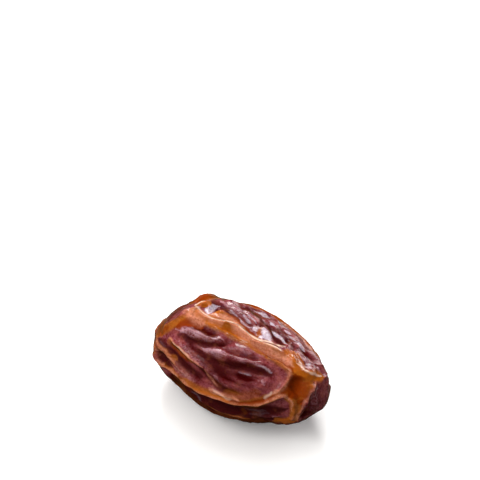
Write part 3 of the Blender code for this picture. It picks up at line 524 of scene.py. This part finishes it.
paleSkin = {    # salmon on the folds: dry stretched skin, and painted highlights along the crests
    "upper fold": (1.0, 0.85, ((20.2, 2.2), (21.9, 2.8), (23.4, 3.6), (25, 5), (27.1, 6.2), (28.9, 7),
        (30.6, 8), (32.4, 9), (33.9, 9.4), (35.5, 10.2), (37.4, 11.4), (39, 13))),
    "upper fold, stem side": (0.9, 0.7, ((11.4, 2.4), (12.8, 5.6), (14.4, 7.4), (16.2, 7.4), (17.8, 6.6),
        (19.2, 4.4))),
    "shoulder": (1.0, 1.0, ((10.4, 0), (10.2, 6), (10.4, 11), (11.8, 14), (13.6, 15), (15.4, 15.4))),
    "shoulder corner": (0.7, 0.3, ((10, -1), (9.2, 4), (8.8, 9), (8.6, 14))),
    "facet": (0.8, 0.5, ((17, -2.6), (18.7, -3.2), (20.4, -3.2), (22, -2), (23.6, -0.6))),
    "facet edge": (0.7, 0.3, ((15.4, 1.6), (16.4, -0.4), (17.8, -0.4), (19.4, 0.4))),
    "loop": (0.8, 0.3, ((9.8, -5), (10.6, -9), (12, -11))),
    "hump": (0.4, 0.3, ((11, -10), (11.8, -16), (12.2, -24))),
    "lower fold": (0.85, 0.3, ((5, 97), (6.5, 91), (8.2, 87), (9.8, 84.6), (12.2, 82.2), (14.3, 81.4),
        (16, 81.4), (17.7, 81.4), (19.2, 81.4), (21.1, 80.4), (23.4, 79), (25, 78.5), (26.8, 78.5),
        (28.6, 79), (30.4, 79), (31.9, 78), (34, 76.4), (35.4, 73), (36.7, 67.4), (37.6, 62), (38.8, 57.6),
        (39.8, 57.6), (40.6, 61), (41.1, 67), (41.4, 76), (41.4, 86))),
    "lower fold, inner edge": (0.9, 0.36, ((22.8, 69.4), (23.8, 71), (25.4, 71.6), (27.2, 72.2),
        (28.6, 72.8), (30.6, 73.6))),
    "string": (0.8, 0.17, ((7.4, 49.4), (8.8, 50.6), (10.6, 51.6), (13, 52.2), (15.1, 53.4), (17.1, 53),
        (18.7, 52.6), (20.1, 52.6))),
    "string, tip end": (0.5, 0.2, ((20.8, 53.6), (22.4, 58.4), (23.6, 61), (25, 64))),
    "tip rim": (0.7, 0.2, ((43.8, 8), (43.8, 18), (43.8, 31), (43.7, 44), (43.5, 56), (43.3, 68), (43, 79),
        (42.7, 90), (42.5, 102))),
    "panel end": (0.55, 0.36, ((37.1, 18), (38.1, 21.6), (38.8, 27), (38.9, 34), (38.8, 41.5), (38.4, 48),
        (37.8, 54), (37, 59))),
    "heel": (0.35, 0.9, ((2.2, 62), (2.6, 70), (3, 78), (3.6, 86), (4.8, 93))),
    "eye, upper lid": (0.7, 0.32, ((4, 78), (5.4, 73.4), (7.4, 71.6), (10, 72), (12.4, 72.6))),
    "cheek line": (0.7, 0.22, ((3.1, 53), (3.9, 61), (5.4, 66), (7.8, 67.2), (10.3, 67.6))),
    "end fold": (0.35, 0.9, ((10.6, 71), (12.4, 73.4), (13.8, 74), (15.2, 73.4), (17, 73))),
    "eyelid": (0.7, 0.26, ((4.4, 90), (5.8, 90), (7.4, 86.6), (9, 85))),
    "back rim": (0.35, 0.3, ((15, -41), (18, -43), (22, -44.5), (26, -46), (30, -48), (34, -49.5),
        (37, -47.5), (39, -43))),
    "foot line": (0.7, 0.24, ((23.4, 100.6), (25.6, 100.2), (27.8, 100.6), (30, 101.6), (32, 102))),
    "tip foot": (0.5, 0.4, ((41.2, 103), (42, 96), (42.3, 88))),
    "far side 1": (0.5, 0.35, ((6, -78), (10, -72.6), (15, -74.6), (20, -79.6), (25, -78.6), (30, -72.6),
        (35, -74.6))),
    "far side 2": (0.4, 0.3, ((4, -118), (8, -108.6), (13, -101.6), (18, -103.6), (23, -110.6),
        (27, -107.6))),
}
creamHighlightSkin = {    # painted highlights along the brightest edges of the folds, partly pale skin
    "upper fold, stem end": (0.7, 0.2, ((10, -3), (11, 0.6), (12.4, 3.8), (13.8, 5.4), (15.5, 6.2),
        (17.2, 5.8))),
    "upper fold": (0.85, 0.22, ((16.4, 6.2), (18.2, 4.4), (19.6, 1.2), (20.8, -0.2), (22.2, 0), (23.8, 1.4),
        (25.3, 2), (26.9, 2.2), (28.6, 2.8), (30, 3.4))),
    "upper fold, wide part": (0.9, 0.2, ((27.8, 2.8), (29.4, 3.2), (31, 3.6), (32.6, 3.8), (34.4, 3.8))),
    "thin line": (0.85, 0.2, ((28.4, 2), (29.6, 0.8), (31, -0.6), (32.8, -2.4), (34.6, -5.4))),
    "loop": (0.7, 0.22, ((9.6, -4), (10.2, -8), (11.6, -10.6))),
    "tip line": (0.8, 0.17, ((40.8, 9.6), (41.8, 6.6), (42.6, 2), (43.4, -6), (43.9, -15))),
    "streak ends": (0.6, 0.3, ((38.8, 3), (39.8, 6.4), (40.8, 9))),
    "panel foot": (0.5, 0.16, ((35.4, 67), (35.9, 64), (36.3, 60), (36.7, 55.5))),
    "inner edge": (0.35, 0.2, ((24, 69), (25.8, 71.5), (27.4, 73), (28.9, 74))),
    "string": (0.35, 0.11, ((9.4, 50.8), (11, 51.6), (13, 52), (15, 53), (17, 52.8))),
}
glowSkin = {    # thin skin that lets the light through: strong orange
    "upper groove": (0.9, 0.5, ((11.4, 4.6), (12.6, 9), (14.4, 11.6), (16.4, 11), (18.4, 9.6), (21, 7.8),
        (24, 7.4), (27, 8.6))),
    "stem collar": (0.3, 0.6, ((6.2, 36), (7, 33.6), (8.2, 28), (9.2, 23), (9.8, 19))),
    "loop hollow": (0.6, 0.6, ((10.8, -3.4), (11.6, -5.4), (12.6, -7.4), (13.4, -9))),
    "facet": (0.7, 0.5, ((15, 1.4), (16, -1), (17, -2.6))),
    "tip corner": (1.0, 0.85, ((38, 11), (39.4, 14.4), (40.8, 15), (42, 11), (43, 4), (43.7, -4),
        (44.1, -14))),
    "tip foot": (0.85, 0.8, ((38.6, 108), (39.8, 107), (41, 103.6), (41.8, 98))),
    "inner groove": (0.8, 0.3, ((19, 79), (21.6, 77.4), (23.4, 75.6), (25, 75), (27, 75.2), (29, 75.8))),
    "streaks": (0.5, 0.5, ((35, -1), (36.4, 2), (37.6, 6), (38.6, 9.6))),
}
hollowSkin = {    # the deepest amber, dark red-brown: painted shade in the hollows, the grooves and under the folds, and darker skin on the hump and the stem side
    "amber hollow": (1.0, 2.0, ((39.8, 22), (40.2, 28), (40.6, 35), (40.8, 43), (40.7, 50), (40.4, 56))),
    "hollow, tip side": (0.78, 1.5, ((41.6, 24), (42.2, 34), (42.4, 44), (42.2, 54))),
    "hollow, stem side": (0.8, 0.6, ((39.5, 33), (39.6, 42), (39.3, 49), (38.6, 55))),
    "dimple": (0.8, 0.55, ((42, 61.4), (42.7, 61), (43.3, 61))),
    "upper groove": (0.9, 0.55, ((27.4, 8.4), (29.4, 9.4), (31.4, 11.4), (33.2, 13.6), (35.4, 14),
        (37.2, 15), (38.6, 18), (39.2, 22))),
    "upper groove, stem side": (0.45, 0.3, ((19, 8.6), (21.2, 7.4), (23.6, 7), (26, 7.8))),
    "panel hollow": (0.95, 1.0, ((8.6, 32), (9.8, 28), (10.9, 23), (12.2, 20), (13.8, 18.6), (15.4, 18.4))),
    "olive side": (0.5, 1.5, ((2.2, 20), (2.8, 34), (3.6, 44), (4, 54))),
    "collar": (0.6, 0.5, ((4.8, 44), (5.6, 39), (6.4, 35))),
    "lower groove": (0.9, 0.34, ((28, 75.4), (30.4, 75.8), (32, 74.8), (33.4, 73), (34.7, 70.4), (36, 66),
        (37, 61.6), (38, 57))),
    "hump": (1.0, 0.8, ((9.4, -10), (10, -17), (10.4, -24), (11, -33))),
    "hump, stem side": (0.8, 0.8, ((7.6, -8), (8.2, -16), (8.8, -26), (9, -38))),
    "hump, tip side": (0.7, 0.5, ((10.8, -18), (11.4, -26), (11.8, -36))),
    "back rim": (0.8, 0.7, ((14, -47), (18, -49), (22, -50.5), (26, -52), (30, -54), (34, -55), (37, -53.5),
        (40, -49))),
    "fold back": (0.8, 0.4, ((18.6, -6), (20.4, -5.4), (21.9, -5), (23.7, -3.4), (25.4, -1), (27.4, 0.6))),
    "back seam": (0.5, 0.25, ((26.6, -12), (26.9, -6), (27.5, -1))),
    "under the string": (0.5, 0.4, ((9, 56.4), (11, 58), (13.4, 58.8), (15.6, 58.6))),
}
shadedSkin = {    # painted shade: the lower side, the deepest parts of the panels, and dark bands between the back facets
    "lower side": (1.0, 1.5, ((11, 92), (14, 91), (17, 90), (21, 89.6), (25, 89), (30, 88.6), (34.6, 87.4),
        (38.4, 84), (40.6, 79))),
    "lower side, tip end": (0.8, 0.8, ((32, 90), (35, 89.4), (38, 87), (40.2, 83))),
    "lower side, foot": (0.85, 0.8, ((14, 102), (18, 101), (22, 99), (26, 98), (29.6, 98.6), (33, 99.6),
        (37, 101), (40, 98))),
    "eye": (1.0, 0.8, ((4.6, 84), (5.8, 82.4), (7.4, 81), (9.4, 80.4), (11.4, 80))),
    "tip cap": (0.35, 1.6, ((45.2, 26), (45.2, 42), (45, 58), (45, 74), (44.6, 90), (44.2, 102))),
    "tip cap, shade line": (0.7, 0.5, ((44.4, 50), (44.3, 64), (44.1, 78), (43.8, 92))),
    "top dark 1": (0.7, 0.7, ((13.1, -12), (14.3, -15), (15.8, -13), (17.2, -10))),
    "top dark 2": (0.8, 0.45, ((16.6, -10.6), (18.4, -8), (20.2, -6.4), (22, -6.4))),
    "top dark 3": (0.85, 0.75, ((19.4, -31), (21.2, -30.4), (23.2, -27.6), (25.2, -26))),
    "top dark 4": (0.85, 0.6, ((25, -25.6), (25.8, -21), (26.3, -17), (26, -13.6))),
    "top dark 5": (0.95, 0.65, ((26.4, -24.6), (28.2, -20), (29.6, -16), (30.8, -11.4), (32.2, -7.4),
        (34, -4.4))),
    "top dark 6": (0.6, 0.5, ((28.4, -24.4), (30.4, -23.2), (32.2, -22.8), (34, -20), (36, -15))),
    "left top": (0.8, 1.2, ((5.2, 24), (5.2, 15), (5.6, 6), (7, -1))),
    "cheek": (0.85, 0.9, ((4, 56.6), (5.4, 60), (7.4, 62.4), (9.4, 64.6), (12.4, 65.4), (14.9, 65.6),
        (17.8, 65))),
    "cheek pit": (0.8, 0.6, ((14.2, 65.6), (16.3, 65.8), (18.6, 64.4), (20.6, 62.4))),
    "string, under": (0.7, 0.4, ((18.6, 54.6), (20.6, 55.6), (22, 59), (23.4, 62), (25.4, 65), (28, 66.4))),
    "first trough": (0.7, 0.6, ((9.6, 40), (12.6, 39), (15.2, 36.4), (17.4, 33.2), (19, 30), (20.8, 26.4))),
    "second trough": (0.8, 0.8, ((16.6, 42.4), (19.6, 42.6), (22, 42), (24.6, 40), (27, 37.4), (29.6, 35),
        (33, 34.4), (36, 32.6))),
    "panel middle": (0.7, 1.2, ((18.6, 44), (21.2, 45.6), (23.6, 46.8), (25.8, 48.4))),
    "far side 1": (0.7, 2.6, ((10, -92), (16, -92), (22, -95), (28, -88), (36, -87))),
    "far side 2": (0.85, 2.6, ((8, -128), (14, -124), (22, -122), (30, -116))),
    "under side": (0.8, 3.4, ((8, 142), (16, 140), (24, 140), (32, 142), (38, 150))),
}
bloomAndSheenSkin = {    # painted sheen, partly dry sugar bloom: a lilac sheen in streaks
    "spot": (0.75, 0.6, ((33.6, 45), (34.2, 46.4), (34.8, 49))),
    "panel foot": (0.2, 1.4, ((27, 50), (30, 47), (33, 46), (37, 46))),
    "panel side": (0.25, 0.6, ((37.4, 30), (37.6, 38), (37.2, 46))),
    "first roll": (0.95, 1.1, ((8.6, 34), (11, 32.6), (13.6, 30.6), (16, 27.4), (18.4, 24), (21, 20.6))),
    "first roll, upper side": (0.8, 0.9, ((9.6, 31), (12.4, 28.6), (15.2, 25), (18.2, 21.6), (21.2, 18.4))),
    "first roll, edge": (0.7, 0.35, ((8.2, 34.6), (10.4, 35.4), (13, 34), (15.4, 31.4))),
    "second roll": (0.95, 0.75, ((17.4, 37.4), (19.4, 35.6), (21.2, 33.2), (23.2, 31.2), (25.4, 30))),
    "second roll, tip side": (0.7, 0.38, ((23.6, 31.6), (26.6, 30), (29.6, 28.8), (32.4, 28.4),
        (35.8, 28.6))),
    "fourth roll": (0.9, 0.4, ((30.4, 29.2), (32, 28.5), (33.4, 29), (35.4, 29.4))),
    "roll above": (0.6, 0.45, ((23, 22), (25, 20.6), (27.2, 19.8), (29.2, 20.2))),
    "third roll": (0.8, 0.3, ((27.4, 42.6), (29, 41), (30.4, 40.8), (31.8, 41.6))),
    "long roll": (0.6, 0.6, ((10, 46), (13.6, 48), (16.6, 49), (19.6, 49), (22.2, 52), (24.4, 57),
        (26.6, 61))),
    "left top": (0.6, 0.7, ((5.4, 22), (5.4, 14), (6, 6), (7.2, 0))),
    "cheek": (0.7, 0.5, ((4.6, 58), (6, 61), (8, 63.4))),
    "end fold": (0.6, 0.8, ((9.6, 71.6), (12, 74), (14.6, 74.6), (17.4, 74), (20, 74))),
    "back panel": (0.45, 2.6, ((14.6, -12), (17.4, -18), (21, -22), (25, -24), (29, -27), (33, -26),
        (37, -22), (40, -12))),
    "top facet": (0.9, 0.9, ((14.6, -19), (16.4, -22), (18.2, -22), (20, -20), (21.4, -17.6))),
    "tip facet": (0.9, 0.9, ((38.4, -22), (39.6, -15), (40.6, -8), (41.2, -1), (41.6, 4))),
    "tip facet, far": (0.6, 0.9, ((41.6, -28), (42.6, -18), (43.2, -10))),
    "tip cap sheen": (0.62, 1.4, ((44.4, 12), (44.5, 26), (44.6, 40), (44.4, 52))),
    "tip cap sheen 2": (0.6, 0.9, ((45.2, 40), (45.2, 56), (44.9, 70))),
    "lower side, tip end": (0.7, 0.6, ((30, 96), (33, 96.4), (36.6, 95.8), (39, 92))),
}
facetHighlightSkin = {    # painted highlights and reflections: flat facets of the back panel, nearly white, with crisp edges, and thin bright lines on the rolls and the lower side
    "left facet": (0.9, 0.85, ((14.6, 3.4), (14.1, 0.4), (13.9, -4), (14.2, -9), (14.8, -13))),
    "middle facet": (1.0, 0.8, ((27, -14.4), (28, -10.6), (29, -6.6), (30.2, -3.4), (30.9, -1.4))),
    "middle facet, foot": (1.0, 0.55, ((28.2, 0.4), (28.6, -4), (29.4, -7), (30.4, -4))),
    "middle facet, stem side": (0.85, 0.45, ((25, -10.4), (25.8, -7), (26.5, -4.4))),
    "facet 3": (1.0, 0.5, ((29.2, -19.6), (30.8, -16.2), (32.4, -14), (34.4, -11.6))),
    "facet 4": (0.95, 0.36, ((26.8, -31), (27.8, -29.4), (28.8, -28.6))),
    "facet 5": (0.8, 0.45, ((27.8, -44), (29, -43.6), (30.2, -42.8), (31.4, -42))),
    "facet 6": (0.8, 0.3, ((30.8, -36.4), (32, -35.6), (33.2, -35.2))),
    "facet 7": (0.7, 0.45, ((34.6, -31), (35.8, -29), (37, -27.6), (38.4, -27))),
    "facet 8": (0.6, 0.4, ((32.4, -31.6), (33.8, -30.8), (35.2, -30.2))),
    "rim line": (0.85, 0.24, ((21.4, -36.6), (22.8, -37.8), (24.4, -38), (26, -38))),
    "facet edge 1": (0.8, 0.16, ((20.8, -11.4), (22, -7.4), (23.6, -5.8), (24.6, -7.6), (25, -12))),
    "streak 1": (0.65, 0.22, ((20.8, -17), (22, -14.6), (23.2, -12.4), (24.2, -11))),
    "streak 2": (0.65, 0.22, ((21.4, -21), (22.8, -18.6), (24, -16.6), (25, -15.4))),
    "streak 3": (0.5, 0.2, ((17.4, -16.4), (19.2, -13.6), (20.8, -11.6))),
    "white dot": (0.9, 0.2, ((40.6, -8.6), (41, -7.4))),
    "lower side": (0.12, 0.16, ((16, 94.6), (19, 95), (21.4, 97), (23.9, 97.6), (26.4, 95.8))),
    "lower side 2": (0.08, 0.18, ((31.6, 90), (33.4, 89.5), (35, 89.8), (36.7, 88.5))),
    "lower side 3": (0.07, 0.2, ((32, 95), (33.9, 93.5), (35.5, 92), (37.1, 90))),
    "roll end": (0.5, 0.10, ((31.6, 29.2), (33, 28.8), (34.4, 29.4), (35.8, 29.8))),
    "third roll": (0.35, 0.08, ((28.4, 42), (29.6, 41.4), (30.6, 41.2), (31.6, 41.8))),
}


paints = {    # attribute of the skin: strokes, shape (low gives softer edges), taper
    "amber": (amberSkin, 4, 0.15),
    "pale": (paleSkin, 2, 0.15),
    "cream": (creamHighlightSkin, 2, 0.15),
    "glow": (glowSkin, 4, 0.15),
    "hollow": (hollowSkin, 4, 0.15),
    "shade": (shadedSkin, 4, 0.15),
    "bloomAndSheen": (bloomAndSheenSkin, 3, 0.3),
    "facet": (facetHighlightSkin, 6, 0.4),
}
paintWobble = {"along": 4.0, "around": 3.0, "reach": 0.12, "waves": 24}
strokePower = 6
skinMesh = {"cuts": (1, 63), "troughDepth": 0.6}


def painted(points, strokes, shape, taper):
    specs = [fold(strength, width, route, shape=shape, taper=taper, pointed=True)
             for strength, width, route in strokes.values()]
    return together(points, specs, power=strokePower)


def makeSkin():
    bpy.ops.mesh.primitive_cube_add(size=2)
    skin = bpy.context.object
    skin.name = "date_skin_fine"
    bpy.ops.object.mode_set(mode="EDIT")
    bpy.ops.mesh.select_all(action="SELECT")
    for cuts in skinMesh["cuts"]:
        bpy.ops.mesh.subdivide(number_cuts=cuts)
    bpy.ops.object.mode_set(mode="OBJECT")
    mesh = skin.data
    flat = np.empty(3 * len(mesh.vertices))
    mesh.vertices.foreach_get("co", flat)
    ball = np.tan(flat.reshape(-1, 3) * np.pi / 4)    # even steps over each side of the cube
    ball /= np.linalg.norm(ball, axis=1, keepdims=True)
    along = (np.clip(ball[:, 0], -1, 1) + 1) * bodyShape["length"] / 2
    around = np.degrees(np.arctan2(-ball[:, 1], ball[:, 2]))
    points = body(along, around)
    normals = bodyNormals(points, along, around)
    height, sunk = skinForm(points, normals, along, around)
    pressed = smooth(np.clip((points[:, 2] - bodyShape["restLevel"]) / bodyShape["pressedHeight"], 0, 1))
    placed = points + normals * (height * pressed)[:, None]
    placed -= (*bodyShape["axisOffset"], bodyShape["restLevel"])
    placed[:, 2] = np.maximum(placed[:, 2], 0)
    mesh.vertices.foreach_set("co", (placed * mm).ravel())
    mesh.update()

    moved = shifted(points, np.random.default_rng(seeds["paint"]), paintWobble)
    looks = {name: painted(moved, *paint) for name, paint in paints.items()}
    # painted shade: creases and facet lows are coloured darker, the deeper the darker
    looks["trough"] = np.clip(sunk / skinMesh["troughDepth"], 0, 1)
    for name, values in looks.items():
        mesh.attributes.new(name, "FLOAT", "POINT").data.foreach_set("value", values.astype(np.float32))
    bpy.ops.object.shade_smooth()
    skin.select_set(False)
    print("skin:", len(mesh.polygons), "quads")
    return skin


# Materials

skinLook = {
    "colours": {
        "panel": (0.11, 0.005, 0.005),
        "panelPale": (0.31, 0.075, 0.092),
        # painted shade in the creases
        "trough": (0.045, 0.0015, 0.0015),
        "amberDeep": (0.19, 0.044, 0.0012),
        "amberLight": (0.42, 0.115, 0.016),
        # salmon skin and painted highlights on the crests
        "pale": (0.58, 0.22, 0.135),
        # painted highlights, partly pale skin
        "cream": (0.85, 0.60, 0.47),
        "glow": (0.42, 0.10, 0.005),
        # dark red-brown: painted shade in hollows and grooves, darker skin on the hump
        "hollow": (0.2, 0.024, 0.0012),
        # painted shade: the lower side, the panel depths and dark bands on the back
        "shade": (0.048, 0.0055, 0.006),
        # lilac painted sheen, partly sugar bloom
        "bloomAndSheen": (0.47, 0.25, 0.29),
        # painted highlights and reflections on the back facets
        "facet": (0.49, 0.41, 0.48),
        # painted shade at the outline
        "edge": (0.075, 0.024, 0.004),
    },
    "surface": {
        "Specular IOR Level": 0.0,    # all the gloss is the coat's
        "Coat Roughness": 0.21,
        "Subsurface Weight": 0.15,
        "Subsurface Scale": 0.0016,
        "Subsurface Radius": (1.0, 0.28, 0.08),
    },
    "noises": {    # scale, detail, roughness, stretched along the fruit
        "mottling": (420.0, 4.0, 0.6, False),
        "streaks": (1100.0, 3.0, 0.6, True),
        "clouds": (180.0, 3.0, 0.5, False),
        "pores": (2200.0, 2.0, 0.5, False),
        "crinkles": (900.0, 3.0, 0.55, True),
    },
    "stretch": (0.3, 1, 1),
    "unevenEdges": ("amber", "pale", "glow", "hollow"),
    "masks": {    # starting level, clamped, and the share of each pattern that is added
        "uneven": (-0.15, False, {"mottling": 0.3}),
        "paleStreaks": (-0.75, True, {"streaks": 2.4}),
        "grain": (-1.0, True, {"pores": 3.0}),
        "amberTone": (-0.9, True, {"clouds": 1.8, "paleStreaks": 0.7, "grain": 0.35}),
        "flecks": (-0.6, True, {"grain": 0.4, "paleStreaks": 0.5, "mottling": 1.2}),
        "bloomAndSheenStreaks": (-1.15, True, {"bloomAndSheen": 1.2, "grain": 0.5, "paleStreaks": 1.0}),
        "salmonBreakup": (0.25, False, {"paleStreaks": 0.45, "grain": 0.5}),
        "facetHighlightGrain": (0.5, True, {"grain": 0.5}),
        # painted shade: the colour darkens where the skin turns away from the eye, towards the outline
        "rim": (-1.35, True, {"facing": 2.6}),
        "rimShade": (0.0, False, {"rim": 0.88}),
        "roughness": (0.23, False, {"mottling": 0.22, "bloomAndSheen": 0.08, "amber": -0.08}),
        "coat": (0.50, True, {"bloomAndSheen": 0.25, "dark": -0.7}),
    },
    "layers": {    # from the lowest up: the masks that are multiplied, and the colour
        "pale flecks": (("flecks",), "panelPale"),
        # painted sheen on the rolls, the back and the tip cap, partly sugar bloom
        "bloomAndSheen": (("bloomAndSheenStreaks", "bloomAndSheen"), "bloomAndSheen"),
        # painted shade in the creases
        "painted crease shade": (("trough",), "trough"),
        # painted shade: the lower side, the panel depths and dark bands on the back
        "painted shade": (("shade",), "shade"),
        "amber": (("amberEdge",), "amber"),
        "strong orange": (("glowEdge",), "glow"),
        # painted shade in the hollows and grooves, darker skin on the hump and stem side
        "dark hollows": (("hollowEdge",), "hollow"),
        # salmon skin and painted highlights on the crests
        "salmon crests and painted highlights": (("paleEdge", "salmonBreakup"), "pale"),
        # painted highlights on the brightest fold edges
        "painted cream highlights": (("cream",), "cream"),
        # painted highlights and reflections on the back facets
        "painted facet highlights": (("facet", "facetHighlightGrain"), "facet"),
        # painted shade towards the outline
        "painted rim shade": (("rimShade",), "edge"),
    },
    "bumps": {"pores": 0.000016, "crinkles": 0.00005},    # depths in metres
}
nodeGrid = {"rows": 8, "across": 200, "down": 300}


def addNode(tree, kind, label, **settings):
    node = tree.nodes.new("ShaderNode" + kind)
    node.label = label
    column, row = divmod(len(tree.nodes), nodeGrid["rows"])
    node.location = (column * nodeGrid["across"], -row * nodeGrid["down"])
    for name, value in settings.items():
        setattr(node, name, value)
    return node


def feed(tree, socket, value):    # links an output, or sets a number or a colour
    if isinstance(value, bpy.types.NodeSocket):
        tree.links.new(value, socket)
    elif isinstance(value, tuple):
        socket.default_value = (*value, 1)
    else:
        socket.default_value = value


def math(tree, label, operation, *values, clamp=False):
    node = addNode(tree, "Math", label, operation=operation, use_clamp=clamp)
    for socket, value in zip(node.inputs, values):
        feed(tree, socket, value)
    return node.outputs[0]


def colourMix(tree, label, factor, low, high):    # 0 is the factor, 6 and 7 are the colours
    node = addNode(tree, "Mix", label, data_type="RGBA")
    for place, value in ((0, factor), (6, low), (7, high)):
        feed(tree, node.inputs[place], value)
    return node.outputs[2]


def newMaterial(name):
    material = bpy.data.materials.new(name)
    material.use_nodes = True
    tree = material.node_tree
    return material, tree, tree.nodes["Principled BSDF"]


def endMaterial(tree):    # the shader and the output stand right of all else
    for name in ("Principled BSDF", "Material Output"):
        right = max(node.location.x for node in tree.nodes)
        tree.nodes[name].location = (right + 2 * nodeGrid["across"], 0)


def makePatterns(tree):    # outputs that the masks and bumps are made from
    where = addNode(tree, "TexCoord", "where").outputs["Object"]
    stretch = addNode(tree, "Mapping", "along the fruit")
    stretch.inputs["Scale"].default_value = skinLook["stretch"]
    feed(tree, stretch.inputs["Vector"], where)
    found = {"facing": addNode(tree, "LayerWeight", "facing away").outputs["Facing"]}
    for name in (*paints, "trough"):
        found[name] = addNode(tree, "Attribute", name, attribute_name=name).outputs["Fac"]
    for name, (scale, detail, roughness, stretched) in skinLook["noises"].items():
        noise = addNode(tree, "TexNoise", name)
        vector = stretch.outputs["Vector"] if stretched else where
        for socket, value in (("Vector", vector), ("Scale", scale), ("Detail", detail),
                              ("Roughness", roughness)):
            feed(tree, noise.inputs[socket], value)
        found[name] = noise.outputs["Fac"]
    return found


def makeMasks(tree, found):
    # painted shade, crease shade and the dark hollows; the coat is thinned there so that no gloss greys
    # them
    dark = math(tree, "dark skin", "MAXIMUM", found["shade"], found["trough"])
    found["dark"] = math(tree, "dark skin and hollows", "MAXIMUM", dark, found["hollow"])
    for name, (level, clamped, shares) in skinLook["masks"].items():
        for pattern, share in shares.items():
            last = pattern == list(shares)[-1]
            level = math(tree, name + ", from " + pattern, "MULTIPLY_ADD", found[pattern], share, level,
                         clamp=clamped and last)
        found[name] = level
    for name in skinLook["unevenEdges"]:
        found[name + "Edge"] = math(tree, name + ", uneven edge", "ADD", found[name], found["uneven"],
                                    clamp=True)


def makeSkinMaterial():
    material, tree, shader = newMaterial("dateSkin")
    found = makePatterns(tree)
    makeMasks(tree, found)
    colours = dict(skinLook["colours"])
    colours["amber"] = colourMix(tree, "amber, deep to light", found["amberTone"], colours["amberDeep"],
                                 colours["amberLight"])
    colour = colours["panel"]
    for label, (masks, over) in skinLook["layers"].items():
        mask = found[masks[0]]
        for name in masks[1:]:
            mask = math(tree, label + " only there", "MULTIPLY", mask, found[name])
        colour = colourMix(tree, label, mask, colour, colours[over])
    normal = None
    for name, depth in skinLook["bumps"].items():
        bump = addNode(tree, "Bump", name)
        feed(tree, bump.inputs["Strength"], 1.0)
        feed(tree, bump.inputs["Distance"], depth)
        feed(tree, bump.inputs["Height"], found[name])
        if normal:
            feed(tree, bump.inputs["Normal"], normal)
        normal = bump.outputs["Normal"]
    for socket, value in (("Base Color", colour), ("Roughness", found["roughness"]),
                          ("Coat Weight", found["coat"]), ("Normal", normal), ("Coat Normal", normal)):
        feed(tree, shader.inputs[socket], value)
    for socket, value in skinLook["surface"].items():
        shader.inputs[socket].default_value = value
    endMaterial(tree)
    return material


# Studio: floor, lights, camera

studio = {
    "floorSize": 6.0,
    "floorWhite": (0.93, 0.93, 0.925),
    "floorGrey": (0.34, 0.33, 0.32),
    "floorDark": (0.05, 0.05, 0.05),
    "floorRoughness": 0.6,
    "floorLift": 0.12,
    "worldStrength": 0.08,
    "worldColour": (1.0, 1.0, 1.0),
    "aim": (0.0, 0.0, 0.01),
    "lights": {    # place, size, power, colour, in metres and watts
        "mainSoftbox": ((-0.38, 0.60, 0.62), 0.30, 6.5, (1.0, 0.99, 0.98)),
        "topSoftbox": ((-0.20, 0.25, 0.85), 0.35, 1.2, (1.0, 1.0, 1.0)),
        "frontSoftbox": ((-0.35, -0.46, 0.81), 0.36, 1.5, (1.0, 1.0, 1.0)),
        "overheadFill": ((-0.20, -0.10, 1.00), 1.20, 7.2, (1.0, 0.97, 0.945)),
        "backdropLight": ((0.10, 0.95, 0.22), 0.50, 5.0, (1.0, 1.0, 1.0)),
        "frontFill": ((-0.35, -0.60, 0.70), 1.20, 6.0, (1.0, 0.97, 0.945)),
    },
}
photoView = {"eye": (103.42, -175.68, 221.2), "aim": (-30.48, 51.67, -0.2), "lens": 90.0, "clipStart": 0.01}


def makeFloorMaterial():
    material, tree, shader = newMaterial("studioFloor")
    light = addNode(tree, "LightPath", "light path").outputs
    colour = colourMix(tree, "dark in reflections", light["Is Glossy Ray"], studio["floorGrey"],
                       studio["floorDark"])
    colour = colourMix(tree, "white to the eye", light["Is Camera Ray"], colour, studio["floorWhite"])
    lift = math(tree, "lifted shadow", "MULTIPLY", light["Is Camera Ray"], studio["floorLift"])
    for socket, value in (("Base Color", colour), ("Roughness", studio["floorRoughness"]),
                          ("Emission Color", (1, 1, 1)), ("Emission Strength", lift)):
        feed(tree, shader.inputs[socket], value)
    endMaterial(tree)
    return material


def addThere(name, data, place, aim):
    thing = bpy.data.objects.new(name, data)
    thing.location = place
    thing.rotation_euler = (Vector(aim) - Vector(place)).to_track_quat("-Z", "Y").to_euler()
    bpy.context.scene.collection.objects.link(thing)
    return thing


def makeStudio():
    bpy.ops.mesh.primitive_plane_add(size=studio["floorSize"])
    floor = bpy.context.object
    floor.name = "studio_floor"
    floor.data.materials.append(makeFloorMaterial())
    floor.select_set(False)
    world = bpy.data.worlds.new("studioWorld")
    bpy.context.scene.world = world
    world.use_nodes = True
    background = world.node_tree.nodes["Background"]
    background.inputs["Color"].default_value = (*studio["worldColour"], 1)
    background.inputs["Strength"].default_value = studio["worldStrength"]
    for name, (place, size, power, colour) in studio["lights"].items():
        light = bpy.data.lights.new(name, "AREA")
        light.shape = "SQUARE"
        light.size = size
        light.energy = power
        light.color = colour
        lamp = addThere(name, light, place, studio["aim"])
        lamp.visible_glossy = "Fill" not in name    # the fills only lift the shadows


def makeCamera():
    data = bpy.data.cameras.new("photoCamera")
    data.lens = photoView["lens"]
    data.clip_start = photoView["clipStart"]
    eye, aim = Vector(photoView["eye"]) * mm, Vector(photoView["aim"]) * mm
    bpy.context.scene.camera = addThere("photoCamera", data, eye, aim)


makeCamera()
print("camera placed")
skin = makeSkin()
skin.data.materials.append(makeSkinMaterial())
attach(skin, "root")
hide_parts("medjool_date")
print("skin dressed")
makeStudio()
bpy.context.scene.view_settings.view_transform = "Standard"
print("studio lit")
